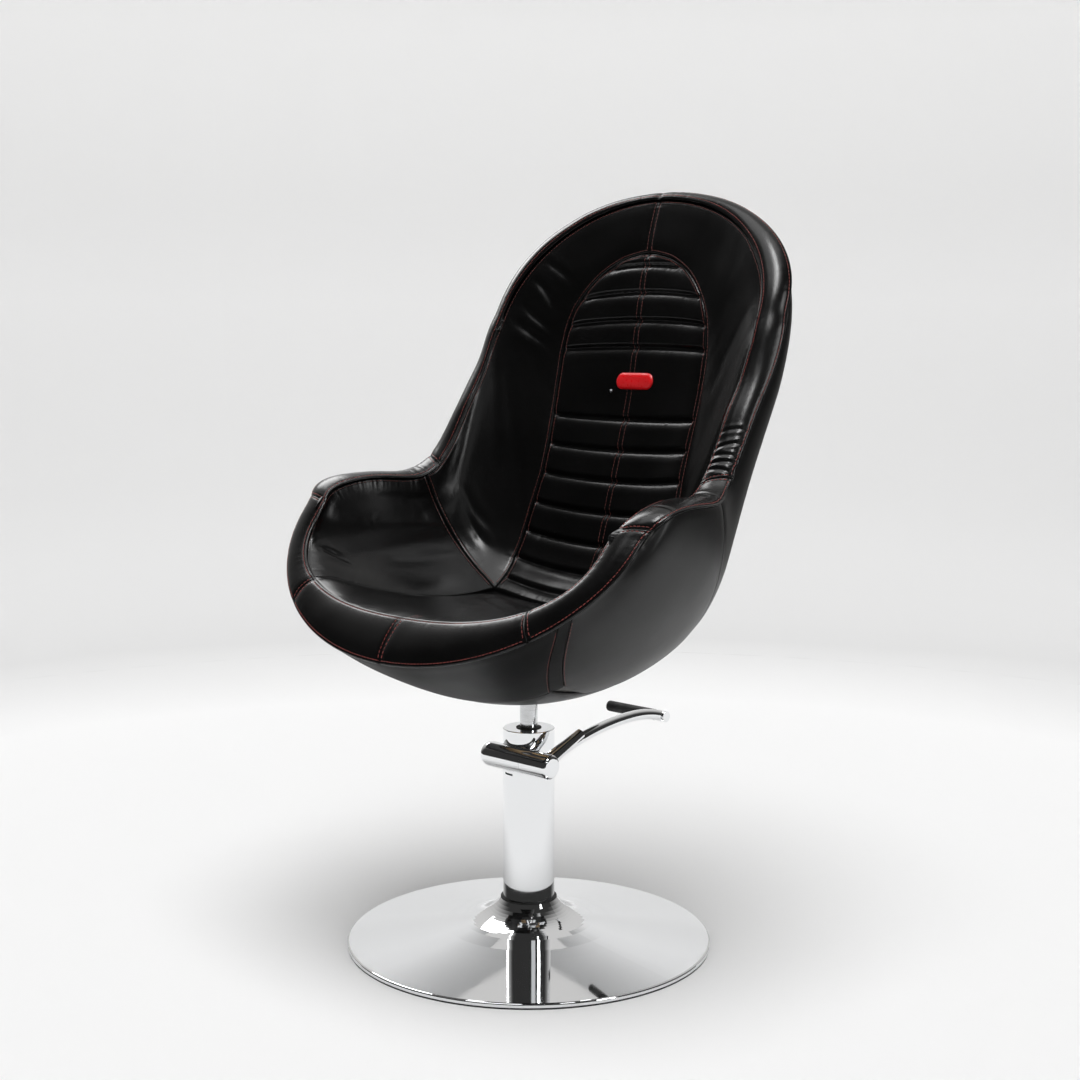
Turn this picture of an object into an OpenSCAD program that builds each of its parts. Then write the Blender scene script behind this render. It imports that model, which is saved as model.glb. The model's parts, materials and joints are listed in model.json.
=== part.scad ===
// Hairdressing chair: an upholstered bucket seat on a hydraulic pump with a round dish base.
// Origin on the floor at the centre of the base, +Z up, the chair faces -Y.

/* [Bucket seat] */
// Width across the outside of the arms
seat_w = 742; // [660:2:800]
// Depth of the bucket from the front lip to the back
seat_d = 674; // [600:2:720]
// Height of the bucket from its underside to its top
seat_h = 795; // [720:5:860]
// Thickness of the outer upholstery
cover_t = 4; // [3:0.5:6]
// Thickness of the moulded shell
shell_t = 8; // [6:0.5:10]
// Thickness of the rim band at its seams
band_edge = 3; // [2:0.5:4]
// Thickness of the rim band at its padded crown
band_crown = 11; // [6:1:16]
// Depth of the sewn channels in the back pad
channel_depth = 7; // [4:0.5:9]
// Depth of the seams between the pads
seam_depth = 8; // [5:0.5:10]
// Crown of the seat cushion
seat_crown = 8; // [2:1:14]

/* [Seat mounting] */
// Thickness of the plywood seat platform
platform_t = 15; // [12:1:18]
// Radius of the opening in the underside
recess_r = 96; // [92:1:104]
// Side of the square seat plate
plate_w = 130; // [120:2:136]
// Thickness of the seat plate
plate_t = 5; // [4:0.5:8]
// Radius of the seat plate's hub
hub_r = 25; // [22:1:30]
// Distance between the seat bolts
bolt_gap = 100; // [92:2:104]

/* [Pump] */
// Outside radius of the column and the pump head
column_r = 41; // [40:0.5:46]
// Wall of the chromed column cover
column_wall = 2; // [1.5:0.5:2.5]
// Height of the top of the pump head above the floor
head_top = 348; // [340:2:356]
// Height of the pump head
head_h = 65; // [62:1:72]
// Radius of the piston rod
rod_r = 14; // [13:0.5:15]
// Radius of the cylinder bore
bore_r = 18; // [17.5:0.5:19]
// Stroke of the piston
stroke = 130; // [100:5:140]

/* [Pedal] */
// Depth of the pedal shaft below the top of the pump head
boss_drop = 41; // [38:1:42]
// Radius of the pedal boss
boss_r = 19.5; // [18:0.5:21]
// Radius of the pedal shaft
shaft_r = 8; // [7:0.5:9]
// Radius of the lever's round bar
lever_r = 8.5; // [7:0.5:10]
// Reach of the lever behind its shaft
lever_reach = 285; // [260:5:300]
// Radius of the rubber foot grip
grip_r = 9; // [8:0.5:11]
// Length of the rubber foot grip
grip_l = 100; // [80:5:110]

/* [Base] */
// Radius of the dish
dish_r = 290; // [260:5:320]
// Sheet thickness of the dish
dish_t = 2.5; // [2:0.5:4]
// Height of the dish at its neck
neck_h = 72; // [68:1:78]
// Height of the dish's lip
lip_h = 9; // [8:0.5:12]
// Thickness of the rubber floor ring under the lip
ring_t = 3; // [2:0.5:4]
// Thickness of the ballast disc
ballast_t = 8; // [6:1:9]

/* [Hidden] */

// Clearances
run_gap = 0.05;
face_gap = 0.3;
pad_gap = 0.8;
foam_gap = 2.4;
board_gap = 3;
cut = 1;
$fn = 64;

// Heights of the seat on the pump
rod_show = 54;
bucket_drop = 4;
shoulder_z = head_top + rod_show;
washer_t = 2;
hub_z = shoulder_z + washer_t + face_gap;
hub_h = 36;
plate_top = hub_z + hub_h;
platform_top = plate_top + platform_t;
under_z = shoulder_z - bucket_drop;
spigot_step = 2;
spigot_r = rod_r - spigot_step;

// The bucket's surfaces run from the front lip, share 0, along a spine to the top, share 1.
// Each row is a half oval from the spine to the rim on both sides.
// Spines hold [y, z] and rims [x, y, z], as shares of the bucket's depth, height and half width.
inner_spine_shares = [[-0.395, 0.200], [-0.250, 0.180], [-0.075, 0.165], [0.105, 0.170],
    [0.215, 0.225], [0.265, 0.325], [0.305, 0.435], [0.345, 0.550], [0.375, 0.670],
    [0.410, 0.835], [0.465, 0.990]];
outer_spine_shares = [[-0.465, 0.120], [-0.350, 0.065], [-0.135, 0.006], [0.095, 0.012],
    [0.240, 0.078], [0.315, 0.205], [0.385, 0.345], [0.465, 0.495], [0.520, 0.650],
    [0.535, 0.835], [0.500, 1.000]];
inner_rim_shares = [[0.815, -0.245, 0.355], [0.845, -0.205, 0.390], [0.840, -0.135, 0.410],
    [0.810, -0.055, 0.415], [0.780, 0.025, 0.410], [0.755, 0.085, 0.420], [0.745, 0.130, 0.455],
    [0.740, 0.170, 0.505], [0.735, 0.210, 0.565], [0.735, 0.250, 0.615], [0.735, 0.280, 0.665],
    [0.735, 0.305, 0.710], [0.720, 0.325, 0.745]];
outer_rim_shares = [[0.955, -0.225, 0.360], [0.995, -0.180, 0.395], [1.000, -0.115, 0.410],
    [0.975, -0.030, 0.410], [0.935, 0.050, 0.410], [0.885, 0.115, 0.430], [0.860, 0.165, 0.470],
    [0.850, 0.215, 0.530], [0.845, 0.260, 0.585], [0.845, 0.305, 0.640], [0.840, 0.340, 0.695],
    [0.835, 0.360, 0.735], [0.805, 0.380, 0.770]];
// Fullness of the inner rows: 2 is an ellipse, more is squarer
inner_full_shares = [2.4, 2.0];
// Half width of the seat cushion and the back pad along the spine, as a share of the row
edge_shares = [[0, 0.57], [0.05, 0.52], [0.10, 0.44], [0.14, 0.385], [0.18, 0.33], [0.22, 0.305],
    [0.26, 0.30], [0.31, 0.30], [0.345, 0.32], [0.40, 0.35], [0.46, 0.353], [0.52, 0.348], [0.58, 0.34],
    [0.635, 0.345], [0.69, 0.357], [0.747, 0.365], [0.805, 0.368], [0.84, 0.355], [0.858, 0.34],
    [0.875, 0.313], [0.892, 0.268], [0.904, 0.228], [0.91, 0.20], [0.916, 0.165], [0.923, 0.115], [0.93, 0]];
crease_share = 0.31;
arch_share = 0.93;
// The seam between arm and wing climbs by this share from the crease to the rim
wing_rise_share = 0.09;
// Sewn channels across the back pad, below and above its plain middle
low_seam_shares = [0.345, 0.40, 0.46, 0.52, 0.58, 0.635, 0.69];
high_seam_shares = [0.805, 0.84, 0.875, 0.91];
// Seams of the outer upholstery
under_front_share = 0.17;
under_back_share = 0.345;
under_side_share = 0.30;
front_side_share = 0.60;
strip_share = 0.05;
// Rim seams between the band's pieces
band_front_share = 0.50;
band_joint_share = 0.46;

function place2(p) = [p[0] * seat_d, under_z + p[1] * seat_h];
function place3(p) = [p[0] * seat_w / 2, p[1] * seat_d, under_z + p[2] * seat_h];
inner_spine = [for (p = inner_spine_shares) place2(p)];
outer_spine = [for (p = outer_spine_shares) place2(p)];
inner_rim = [for (p = inner_rim_shares) place3(p)];
outer_rim = [for (p = outer_rim_shares) place3(p)];

// A smooth curve through the keys k at share s of its length; a rim leaves its ends straight along the chair
function past_end(last, before) = len(last) == 2 ? 2 * last - before
    : [before.x, 2 * last.y - before.y, 2 * last.z - before.z];
function curve(k, s) = let (
        n = len(k) - 1,
        i = max(0, min(n - 1, floor(s * n))),
        f = s * n - i,
        b = k[i],
        c = k[i + 1],
        a = i > 0 ? k[i - 1] : past_end(b, c),
        d = i < n - 1 ? k[i + 2] : past_end(c, b))
    (2 * b + (c - a) * f + (2 * a - 5 * b + 4 * c - d) * f * f + (3 * (b - c) + d - a) * f * f * f) / 2;

// A point on a row: u along the spine, v from -1 at the left rim to 1 at the right rim
function row_point(spine, rim, full, u, v) = let (
        s = curve(spine, u),
        r = curve(rim, u),
        out = pow(sin(90 * abs(v)), 2 / full),
        up = 1 - pow(max(0, cos(90 * abs(v))), 2 / full))
    [sign(v) * r.x * out, s[0] + (r.y - s[0]) * up, s[1] + (r.z - s[1]) * up];
function inner_full(u) = inner_full_shares[0] + (inner_full_shares[1] - inner_full_shares[0]) * u;
function inner_pt(u, v) = row_point(inner_spine, inner_rim, inner_full(u), u, v);
function outer_pt(u, v) = row_point(outer_spine, outer_rim, 2, u, v);
// A point at depth d under the outer surface, or at height d below the inner surface
function under_outer(u, v, d) = let (o = outer_pt(u, v), w = inner_pt(u, v) - o) o + w * d / norm(w);
function room(u, v) = norm(inner_pt(u, v) - outer_pt(u, v));

// The shares of the spine and of the rows that a length in millimetres takes
spine_l = norm(outer_spine[1] - outer_spine[0]) * (len(outer_spine) - 1);
row_l = seat_w * PI / 4;
u_gap = pad_gap / spine_l;
v_gap = pad_gap / 2 / row_l;

function mix(a, b, t) = a + (b - a) * t;
// n equal steps from a to b
function steps(a, b, n) = [for (i = [0 : n]) mix(a, b, i / n)];

// Faces of a closed slab whose outer and inner skins are grids of rows x cols points.
// The walls' diagonals run alike on opposite sides, so the walls of neighbours stay parallel.
function slab_faces(rows, cols) = let (
        w = cols + 1,
        n = (rows + 1) * w,
        ring = concat([for (j = [0 : cols - 1]) j], [for (i = [0 : rows - 1]) i * w + cols],
            [for (j = [cols : -1 : 1]) rows * w + j], [for (i = [rows : -1 : 1]) i * w]),
        m = len(ring))
    concat(
        [for (i = [0 : rows - 1]) for (j = [0 : cols - 1]) let (a = i * w + j)
            each [[a, a + w, a + w + 1], [a, a + w + 1, a + 1]]],
        [for (i = [0 : rows - 1]) for (j = [0 : cols - 1]) let (a = n + i * w + j)
            each [[a, a + w + 1, a + w], [a, a + 1, a + w + 1]]],
        [for (k = [0 : m - 1]) let (a = ring[k], b = ring[(k + 1) % m])
            each k < m / 2 ? [[a, b, b + n], [a, b + n, a + n]] : [[a, b, a + n], [b, b + n, a + n]]]);

// A slab from its outer grid and its inner grid
module slab(outer, inner) {
    rows = len(outer) - 1;
    cols = len(outer[0]) - 1;
    polyhedron(points = concat([for (r = outer) each r], [for (r = inner) each r]),
        faces = slab_faces(rows, cols), convexity = 6);
}

// A layer between two depths: at(s, t) gives [u, v] for the shares s along and t across
module layer(along, across, d0, d1, at) {
    slab([for (s = along) [for (t = across) let (p = at(s, t)) under_outer(p[0], p[1], d0)]],
        [for (s = along) [for (t = across) let (p = at(s, t)) under_outer(p[0], p[1], d1)]]);
}

// Rows shared by the layers, closer together where the spine and the rim bend
body_rows = [0, 0.03, 0.06, 0.09, 0.115, 0.14, 0.17, 0.20, 0.225, 0.25, 0.275, 0.31,
    0.345, 0.37, 0.40, 0.43, 0.46, 0.49, 0.52, 0.55, 0.58, 0.61, 0.64, 0.67, 0.70, 0.73, 0.76,
    0.79, 0.82, 0.85, 0.88, 0.91, 0.94, 0.97, 1];
body_columns = steps(-1, 1, 22);
function rows_in(a, b) = concat([a], [for (u = body_rows) if (u > a + 0.004 && u < b - 0.004) u], [b]);

// Outer upholstery

module recess_cut() {
    translate([0, 0, under_z - seat_h / 4]) cylinder(r = recess_r, h = seat_h / 2);
}

function strip_v(u) = front_side_share
    - (front_side_share - under_side_share) * pow(u / under_front_share, 1.15);

module cover(along, across, at) {
    color([0.05, 0.05, 0.055]) layer(along, across, 0, cover_t, at);
}

module underside_panel() {
    color([0.05, 0.05, 0.055]) difference() {
        layer(rows_in(under_front_share + u_gap, under_back_share - u_gap), steps(-1, 1, 12), 0, cover_t,
            function(u, t) [u, t * (under_side_share - v_gap)]);
        recess_cut();
    }
}

module outer_front_panel() {
    cover(rows_in(0, under_front_share), steps(-1, 1, 18),
        function(u, t) [u, t * (strip_v(u) - v_gap)]);
}

module outer_strip_right() {
    cover(rows_in(0, under_front_share), [0, 1],
        function(u, t) [u, strip_v(u) + mix(v_gap, strip_share - v_gap, t)]);
}

module outer_strip_left() {
    mirror([1, 0, 0]) outer_strip_right();
}

// The side panel starts behind the strip and then follows the underside panel
function side_v(u) = u < under_front_share ? strip_v(u) + strip_share
    : mix(under_side_share + strip_share, under_side_share, min(1, (u - under_front_share) / strip_share));
module outer_side_right() {
    cover(rows_in(0, under_back_share - u_gap / 2), steps(0, 1, 10),
        function(u, t) [u, mix(side_v(u) + v_gap, 1, t)]);
}

module outer_side_left() {
    mirror([1, 0, 0]) outer_side_right();
}

module outer_back_panel() {
    cover(rows_in(under_back_share + u_gap / 2, 1), body_columns, function(u, t) [u, t]);
}

// Moulded shell, open below for the seat plate
module bucket_shell() {
    color([0.16, 0.15, 0.14]) difference() {
        layer(body_rows, body_columns, cover_t + pad_gap, cover_t + pad_gap + shell_t,
            function(u, t) [u, t]);
        recess_cut();
    }
}

// Rim band: stations [u, v, du, dv] along the rim, which runs up the right side and over the top
function front_stations(a, b, n) = [for (v = steps(a, b, n)) [0, v, 0, 1]];
function side_stations(a, b) = [for (u = rows_in(a, b)) [u, 1, 1, 0]];
function top_stations(a, b, n) = [for (v = steps(a, b, n)) [1, v, 0, -1]];

// The band's section: it seats on the rim between the two skins and is padded in the middle
crown_steps = [0.06, 0.16, 0.32, 0.5, 0.68, 0.84, 0.94];
band_tangent_share = 0.004;
function rim_mid(u, v) = (inner_pt(u, v) + outer_pt(u, v)) / 2;
function band_section(st) = let (
        o = outer_pt(st[0], st[1]),
        i = inner_pt(st[0], st[1]),
        du = st[2] * band_tangent_share,
        dv = st[3] * band_tangent_share,
        across = cross(rim_mid(st[0] + du, st[1] + dv) - rim_mid(st[0] - du, st[1] - dv), i - o),
        out = across / norm(across),
        crown = min(band_crown, norm(i - o) / 3))
    concat([o + out * pad_gap, o + out * band_edge],
        [for (t = crown_steps) mix(o, i, t) + out * mix(crown, band_edge, pow(abs(2 * t - 1), 3))],
        [i + out * band_edge, i + out * pad_gap]);

module band(stations) {
    sections = [for (st = stations) band_section(st)];
    m = len(sections[0]);
    n = len(sections) - 1;
    color([0.05, 0.05, 0.055]) polyhedron(
        points = [for (s = sections) each s],
        faces = concat(
            [for (i = [0 : n - 1]) for (j = [0 : m - 1]) let (a = i * m + j, b = i * m + (j + 1) % m)
                each [[a, a + m, b + m], [a, b + m, b]]],
            [for (j = [1 : m - 2]) [0, j, j + 1]],
            [for (j = [1 : m - 2]) [n * m, n * m + j + 1, n * m + j]]),
        convexity = 6);
}

module rim_band_front() {
    half = band_front_share - v_gap;
    band(front_stations(-half, half, 24));
}

module rim_band_arm_right() {
    band(concat(front_stations(band_front_share + v_gap, 0.985, 12),
        side_stations(0.008, band_joint_share - u_gap / 2)));
}

module rim_band_arm_left() {
    mirror([1, 0, 0]) rim_band_arm_right();
}

function mirror_station(st) = [st[0], -st[1], -st[2], st[3]];
module rim_band_back() {
    side = side_stations(band_joint_share + u_gap / 2, 0.992);
    band(concat(side, top_stations(0.985, -0.985, 40),
        [for (i = [len(side) - 1 : -1 : 0]) mirror_station(side[i])]));
}

// Pads

pad_depth = cover_t + shell_t + pad_gap + foam_gap;
function edge_v(u) = lookup(u, edge_shares);
// How far the skin is drawn in at share t from an edge
function draw_in(t, width_share) = pow(max(0, 1 - t / width_share), 2);
// The pad's skin, let down by d, and its back, which is flat over the seat platform
function pad_skin(u, v, d) = let (r = room(u, v)) under_outer(u, v, r - min(d, (r - pad_depth) / 2));
function pad_back(u, v) = let (p = under_outer(u, v, pad_depth))
    [p.x, p.y, max(p.z, platform_top + pad_gap)];

module pad(along, across, at, drop) {
    color([0.06, 0.06, 0.065])
        slab([for (s = along) [for (t = across) let (p = at(s, t)) pad_back(p[0], p[1])]],
            [for (s = along) [for (t = across) let (p = at(s, t)) pad_skin(p[0], p[1], drop(s, t))]]);
}

// Distance of a row from an end of the pad, as a share of its length
function row_edge(u, a, b) = min(u - a, b - u) / (b - a);
function mirror_columns(half) = concat([for (i = [len(half) - 1 : -1 : 1]) -half[i]], half);

u_rear = crease_share - u_gap / 2;
seat_rows = concat([0, 0.008, 0.02], steps(0.04, 0.27, 12), [0.285, 0.298, u_rear]);
module seat_cushion() {
    pad(seat_rows, mirror_columns([0, 0.2, 0.4, 0.6, 0.76, 0.88, 0.95, 0.985, 1]),
        function(u, t) [u, t * (edge_v(u) - v_gap)],
        function(u, t) seam_depth * max(draw_in(1 - abs(t), 0.12), draw_in(row_edge(u, 0, u_rear), 0.08))
            - seat_crown * (1 - t * t) * min(1, 4 * row_edge(u, 0, u_rear)));
}

module arm_pad_right() {
    pad(seat_rows, wing_columns,
        function(u, t) [u * (1 + wing_rise_share * t / crease_share), mix(edge_v(u) + v_gap, 1, t)],
        function(u, t) seam_depth * max(draw_in(t, 0.10), draw_in(1 - u / u_rear, 0.08),
            draw_in(1 - t, 0.06) / 2));
}

module arm_pad_left() {
    mirror([1, 0, 0]) arm_pad_right();
}

// Rows of the back pad: each channel has its seams and a crowned middle
seams = concat(low_seam_shares, high_seam_shares);
seam_half_share = 0.006;
u_back = crease_share + u_gap / 2;
function seam_rows(s) = [s - seam_half_share, s, s + seam_half_share];
function channel_rows(a, b) = b - a > 0.1 ? steps(a + 0.03, b - 0.03, 2) : [(a + b) / 2];
back_rows = concat([u_back, 0.322],
    [for (i = [0 : len(seams) - 2]) each concat(seam_rows(seams[i]), channel_rows(seams[i], seams[i + 1]))],
    seam_rows(seams[len(seams) - 1]), [0.923, arch_share]);
function seam_near(u) = min([for (s = seams) abs(u - s)]);

module back_pad() {
    pad(back_rows, mirror_columns([0, 0.25, 0.5, 0.75, 0.92, 1]),
        function(u, t) [u, t * max(0.001, edge_v(u) - v_gap)],
        function(u, t) max(
            channel_depth * draw_in(seam_near(u), 2.2 * seam_half_share) * (1 - pow(abs(t), 6)),
            seam_depth * max(draw_in(1 - abs(t), 0.1), draw_in(row_edge(u, u_back, arch_share), 0.015))));
}

// Rows of the wing pads where they meet the back pad: plain below, the back pad's own round its arch
wing_rows = concat([u_back, 0.318, 0.328], low_seam_shares, [(0.69 + 0.805) / 2, 0.799],
    [for (u = back_rows) if (u >= 0.8 && u < arch_share) u], [arch_share + u_gap, 0.95, 0.975, 1]);
wing_columns = [0, 0.025, 0.08, 0.2, 0.36, 0.53, 0.7, 0.85, 0.95, 1];
module wing_pad_right() {
    pad(wing_rows, wing_columns,
        function(u, t) [u + wing_rise_share * t * (1 - u) / (1 - crease_share),
            mix(edge_v(u) + v_gap, 1, t)],
        function(u, t) seam_depth * max(draw_in(t, 0.10), draw_in(row_edge(u, u_back, 2), 0.012),
            draw_in(1 - t, 0.06) / 2));
}

module wing_pad_left() {
    mirror([1, 0, 0]) wing_pad_right();
}

// Seat platform: the board lies in the shell, so its outline is the shell's section at that height
board_depth = cover_t + shell_t + pad_gap + board_gap;
function board_side(u, lo, hi, n) = let (v = (lo + hi) / 2)
    n == 0 ? under_outer(u, v, board_depth)
        : under_outer(u, v, board_depth).z < plate_top ? board_side(u, v, hi, n - 1)
            : board_side(u, lo, v, n - 1);
board_rows = [for (u = steps(0.02, 0.5, 96)) if (under_outer(u, 0, board_depth).z < plate_top) u];
board_half = [for (u = board_rows) let (p = board_side(u, 0, 0.9, 20)) [p.x, p.y]];
board_n = len(board_half);
board_outline = concat(board_half, [for (i = [board_n - 1 : -1 : 0]) [-board_half[i][0], board_half[i][1]]]);

tee_r = 10;
tee_barrel_r = 5.5;
tee_flange_t = 1.5;
tee_barrel_h = 10;
bolt_r = 4;
bolt_head_r = 7.5;
bolt_head_h = 5.3;
module at_seat_bolts() {
    for (x = [-1, 1], y = [-1, 1]) translate([x * bolt_gap / 2, y * bolt_gap / 2, 0]) children();
}

retainer_r = 20;
retainer_gap = 4;
module seat_platform() {
    color([0.78, 0.62, 0.42]) difference() {
        translate([0, 0, plate_top]) linear_extrude(platform_t) polygon(board_outline);
        translate([0, 0, plate_top - cut]) cylinder(r = retainer_r + retainer_gap,
            h = platform_t + 2 * cut);
        at_seat_bolts() {
            translate([0, 0, plate_top - cut]) cylinder(r = tee_barrel_r, h = platform_t + 2 * cut);
            translate([0, 0, platform_top - tee_flange_t]) cylinder(r = tee_r, h = tee_flange_t + cut);
        }
    }
}

module tee_nuts() {
    color([0.75, 0.72, 0.6]) at_seat_bolts() difference() {
        union() {
            translate([0, 0, platform_top - tee_flange_t]) cylinder(r = tee_r, h = tee_flange_t);
            translate([0, 0, platform_top - tee_barrel_h]) cylinder(r = tee_barrel_r, h = tee_barrel_h);
        }
        translate([0, 0, platform_top - tee_barrel_h - cut]) cylinder(r = bolt_r, h = tee_barrel_h + 2 * cut);
    }
}

module seat_bolts() {
    color([0.6, 0.6, 0.62]) at_seat_bolts() {
        translate([0, 0, plate_top - plate_t - bolt_head_h])
            cylinder(r = bolt_head_r, h = bolt_head_h, $fn = 6);
        translate([0, 0, plate_top - plate_t]) cylinder(r = bolt_r, h = plate_t + platform_t - tee_flange_t);
    }
}

// Seat plate: a rounded square with a hub and four ribs
plate_corner_r = 14;
bush_wall = 3;
rib_t = 6;
module seat_plate() {
    in = plate_w / 2 - plate_corner_r;
    color([0.12, 0.12, 0.13]) difference() {
        union() {
            translate([0, 0, plate_top - plate_t]) {
                translate([-in, -plate_w / 2, 0]) cube([2 * in, plate_w, plate_t]);
                translate([-plate_w / 2, -in, 0]) cube([plate_w, 2 * in, plate_t]);
                for (x = [-in, in], y = [-in, in])
                    translate([x, y, 0]) cylinder(r = plate_corner_r, h = plate_t);
            }
            translate([0, 0, hub_z]) cylinder(r = hub_r, h = hub_h - plate_t / 2);
            for (a = [0 : 90 : 270]) rotate([90, 0, a]) translate([0, 0, -rib_t / 2])
                linear_extrude(rib_t) polygon([[hub_r / 2, hub_z + hub_h / 4], [hub_r, hub_z + hub_h / 4],
                    [in, plate_top - plate_t], [in, plate_top - plate_t / 2],
                    [hub_r / 2, plate_top - plate_t / 2]]);
        }
        translate([0, 0, hub_z - cut]) cylinder(r = spigot_r + bush_wall, h = hub_h + 2 * cut);
        at_seat_bolts() translate([0, 0, plate_top - plate_t - cut])
            cylinder(r = bolt_r, h = plate_t + 2 * cut);
    }
}

module swivel_bush() {
    color([0.72, 0.52, 0.25]) translate([0, 0, hub_z]) tube(spigot_r + bush_wall, spigot_r + run_gap, hub_h);
}

module tube(ro, ri, h) {
    difference() {
        cylinder(r = ro, h = h);
        translate([0, 0, -cut]) cylinder(r = ri, h = h + 2 * cut);
    }
}

// Base

neck_gap = 4;
neck_r = column_r + neck_gap;
// Shares of the neck's rise that the dish's cone and its flared foot take
cone_share = 0.55;
flare_power = 12;
function dish_z(r) = let (s = (dish_r - r) / (dish_r - neck_r))
    lip_h + (neck_h - lip_h) * (cone_share * s + (1 - cone_share) * pow(s, flare_power));
lip_round = 3;
flare_w = 50;
dish_radii = concat(steps(dish_r - lip_round, neck_r + flare_w * 1.2, 6),
    steps(neck_r + flare_w, neck_r, 12));

module base_dish() {
    color([0.85, 0.86, 0.88]) rotate_extrude($fn = 180) polygon(concat(
        [[dish_r, ring_t], [dish_r, lip_h - lip_round]],
        [for (a = [15 : 15 : 75]) [dish_r - lip_round * (1 - cos(a)), lip_h - lip_round * (1 - sin(a))]],
        [for (r = dish_radii) [r, dish_z(r)]],
        [for (i = [len(dish_radii) - 1 : -1 : 0]) let (r = dish_radii[i]) [r, dish_z(r) - dish_t]],
        [[dish_r - dish_t, lip_h - lip_round], [dish_r - dish_t, ring_t]]));
}

ring_w = 12;
ring_inset = 1;
module floor_ring() {
    color([0.04, 0.04, 0.04]) rotate_extrude($fn = 180) polygon([
        [dish_r - ring_w, 0], [dish_r - ring_inset, 0], [dish_r - ring_inset, ring_t],
        [dish_r - dish_t - face_gap, ring_t],
        [dish_r - dish_t - face_gap, lip_h - lip_round], [dish_r - ring_w, lip_h - lip_round]]);
}

ballast_z = lip_h;
ballast_gap = 1;
// The ballast reaches out to where the dish comes down on it
ballast_r = dish_r - (dish_r - neck_r) * (ballast_t + dish_t + ballast_gap) / ((neck_h - lip_h) * cone_share);
flange_z = ballast_z + ballast_t;
flange_t = 9;
flange_r = 80;
flange_pcd = 124;
flange_bolt_r = 5;
flange_head_r = 8.5;
flange_head_h = 6.4;
hub_ring_r = 84;
module at_flange_bolts() {
    for (a = [45 : 90 : 315]) rotate([0, 0, a]) translate([flange_pcd / 2, 0, 0]) children();
}

module ballast_disc() {
    color([0.2, 0.2, 0.21]) translate([0, 0, ballast_z]) difference() {
        tube(ballast_r, column_r / 2, ballast_t);
        at_flange_bolts() translate([0, 0, -cut]) cylinder(r = flange_bolt_r, h = ballast_t + 2 * cut);
    }
}

module pump_flange() {
    color([0.3, 0.3, 0.32]) translate([0, 0, flange_z]) difference() {
        cylinder(r = flange_r, h = flange_t);
        at_flange_bolts() translate([0, 0, -cut]) cylinder(r = flange_bolt_r, h = flange_t + 2 * cut);
    }
}

// Turned ring welded under the dish, which the flange bolts pull against
hub_z0 = flange_z + flange_t;
thread_l = 10;
hub_ring_gap = 6;
module dish_hub() {
    radii = steps(column_r + hub_ring_gap, hub_ring_r, 8);
    color([0.3, 0.3, 0.32]) difference() {
        rotate_extrude($fn = 128) polygon(concat([[radii[0], hub_z0], [hub_ring_r, hub_z0]],
            [for (i = [len(radii) - 1 : -1 : 0]) [radii[i], dish_z(radii[i]) - dish_t - face_gap]]));
        at_flange_bolts() translate([0, 0, hub_z0 - cut]) cylinder(r = flange_bolt_r, h = thread_l + cut);
    }
}

module flange_bolts() {
    color([0.6, 0.6, 0.62]) at_flange_bolts() {
        translate([0, 0, ballast_z - flange_head_h]) cylinder(r = flange_head_r, h = flange_head_h, $fn = 6);
        translate([0, 0, ballast_z]) cylinder(r = flange_bolt_r, h = ballast_t + flange_t + thread_l);
    }
}

// Pump column

head_z = head_top - head_h;
head_step = 12;
reservoir_r = 37;
reservoir_bore = 33;
cover_seat = 5;
cover_z = neck_h - cover_seat;
grommet_lip = 2;
slot_w = 18;
slot_h = 3;

module column_cover() {
    color([0.85, 0.86, 0.88]) difference() {
        translate([0, 0, cover_z]) tube(column_r, column_r - column_wall, head_z - cover_z);
        translate([-slot_w * 0.8, -column_r - cut, head_z - 2 * slot_h])
            cube([slot_w, column_r, slot_h]);
    }
}

module column_grommet() {
    color([0.04, 0.04, 0.04]) translate([0, 0, cover_z])
        tube(neck_r - face_gap, column_r, neck_h - cover_z + grommet_lip);
}

module reservoir_tube() {
    color([0.4, 0.4, 0.42]) translate([0, 0, hub_z0]) tube(reservoir_r, reservoir_bore, head_z - hub_z0);
}

// The foot block is as high as the piston's stroke leaves room for
piston_h = 24;
nut_h = 5;
nut_gap = 3;
top_gap = 1;
foot_h = head_z - head_step - hub_z0 - stroke - piston_h - nut_h - nut_gap - top_gap;
foot_z = hub_z0 + foot_h;
barrel_r = 5;
plunger_r = 3;
plunger_y = -27.5;
module foot_block() {
    color([0.45, 0.45, 0.47]) difference() {
        translate([0, 0, hub_z0]) cylinder(r = reservoir_bore, h = foot_h);
        translate([0, plunger_y, foot_z - foot_h / 2]) cylinder(r = barrel_r, h = foot_h);
        translate([0, 0, foot_z - foot_h / 2]) cylinder(r = bore_r / 2, h = foot_h);
    }
}

cylinder_wall = 4;
module pump_cylinder() {
    color([0.5, 0.5, 0.52]) translate([0, 0, foot_z])
        tube(bore_r + cylinder_wall, bore_r, head_z - head_step - foot_z);
}

barrel_drop = 57;
barrel_top = head_z - barrel_drop;
module pump_barrel() {
    color([0.5, 0.5, 0.52]) translate([0, plunger_y, foot_z - foot_h / 2])
        tube(barrel_r, plunger_r + run_gap, barrel_top - foot_z + foot_h / 2);
}

// Pedal boss and shaft line
boss_stand = 4;
shaft_y = -column_r - boss_stand;
shaft_z = head_top - boss_drop;
boss_left = -46;
boss_right = 38;
pedal_bush_wall = 2;
pedal_bush_l = 18;
finger_l = 20;
finger_t = 8;
finger_w = 12;
finger_gap = 0.7;
cavity_gap = 1.5;
press_angle = 28;
finger_drop = finger_l * sin(press_angle) + finger_t / 2 * cos(press_angle);

// Anything drawn along +Z is laid along the shaft, starting at x
module on_shaft(x) {
    translate([x, shaft_y, shaft_z]) rotate([0, 90, 0]) children();
}

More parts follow.
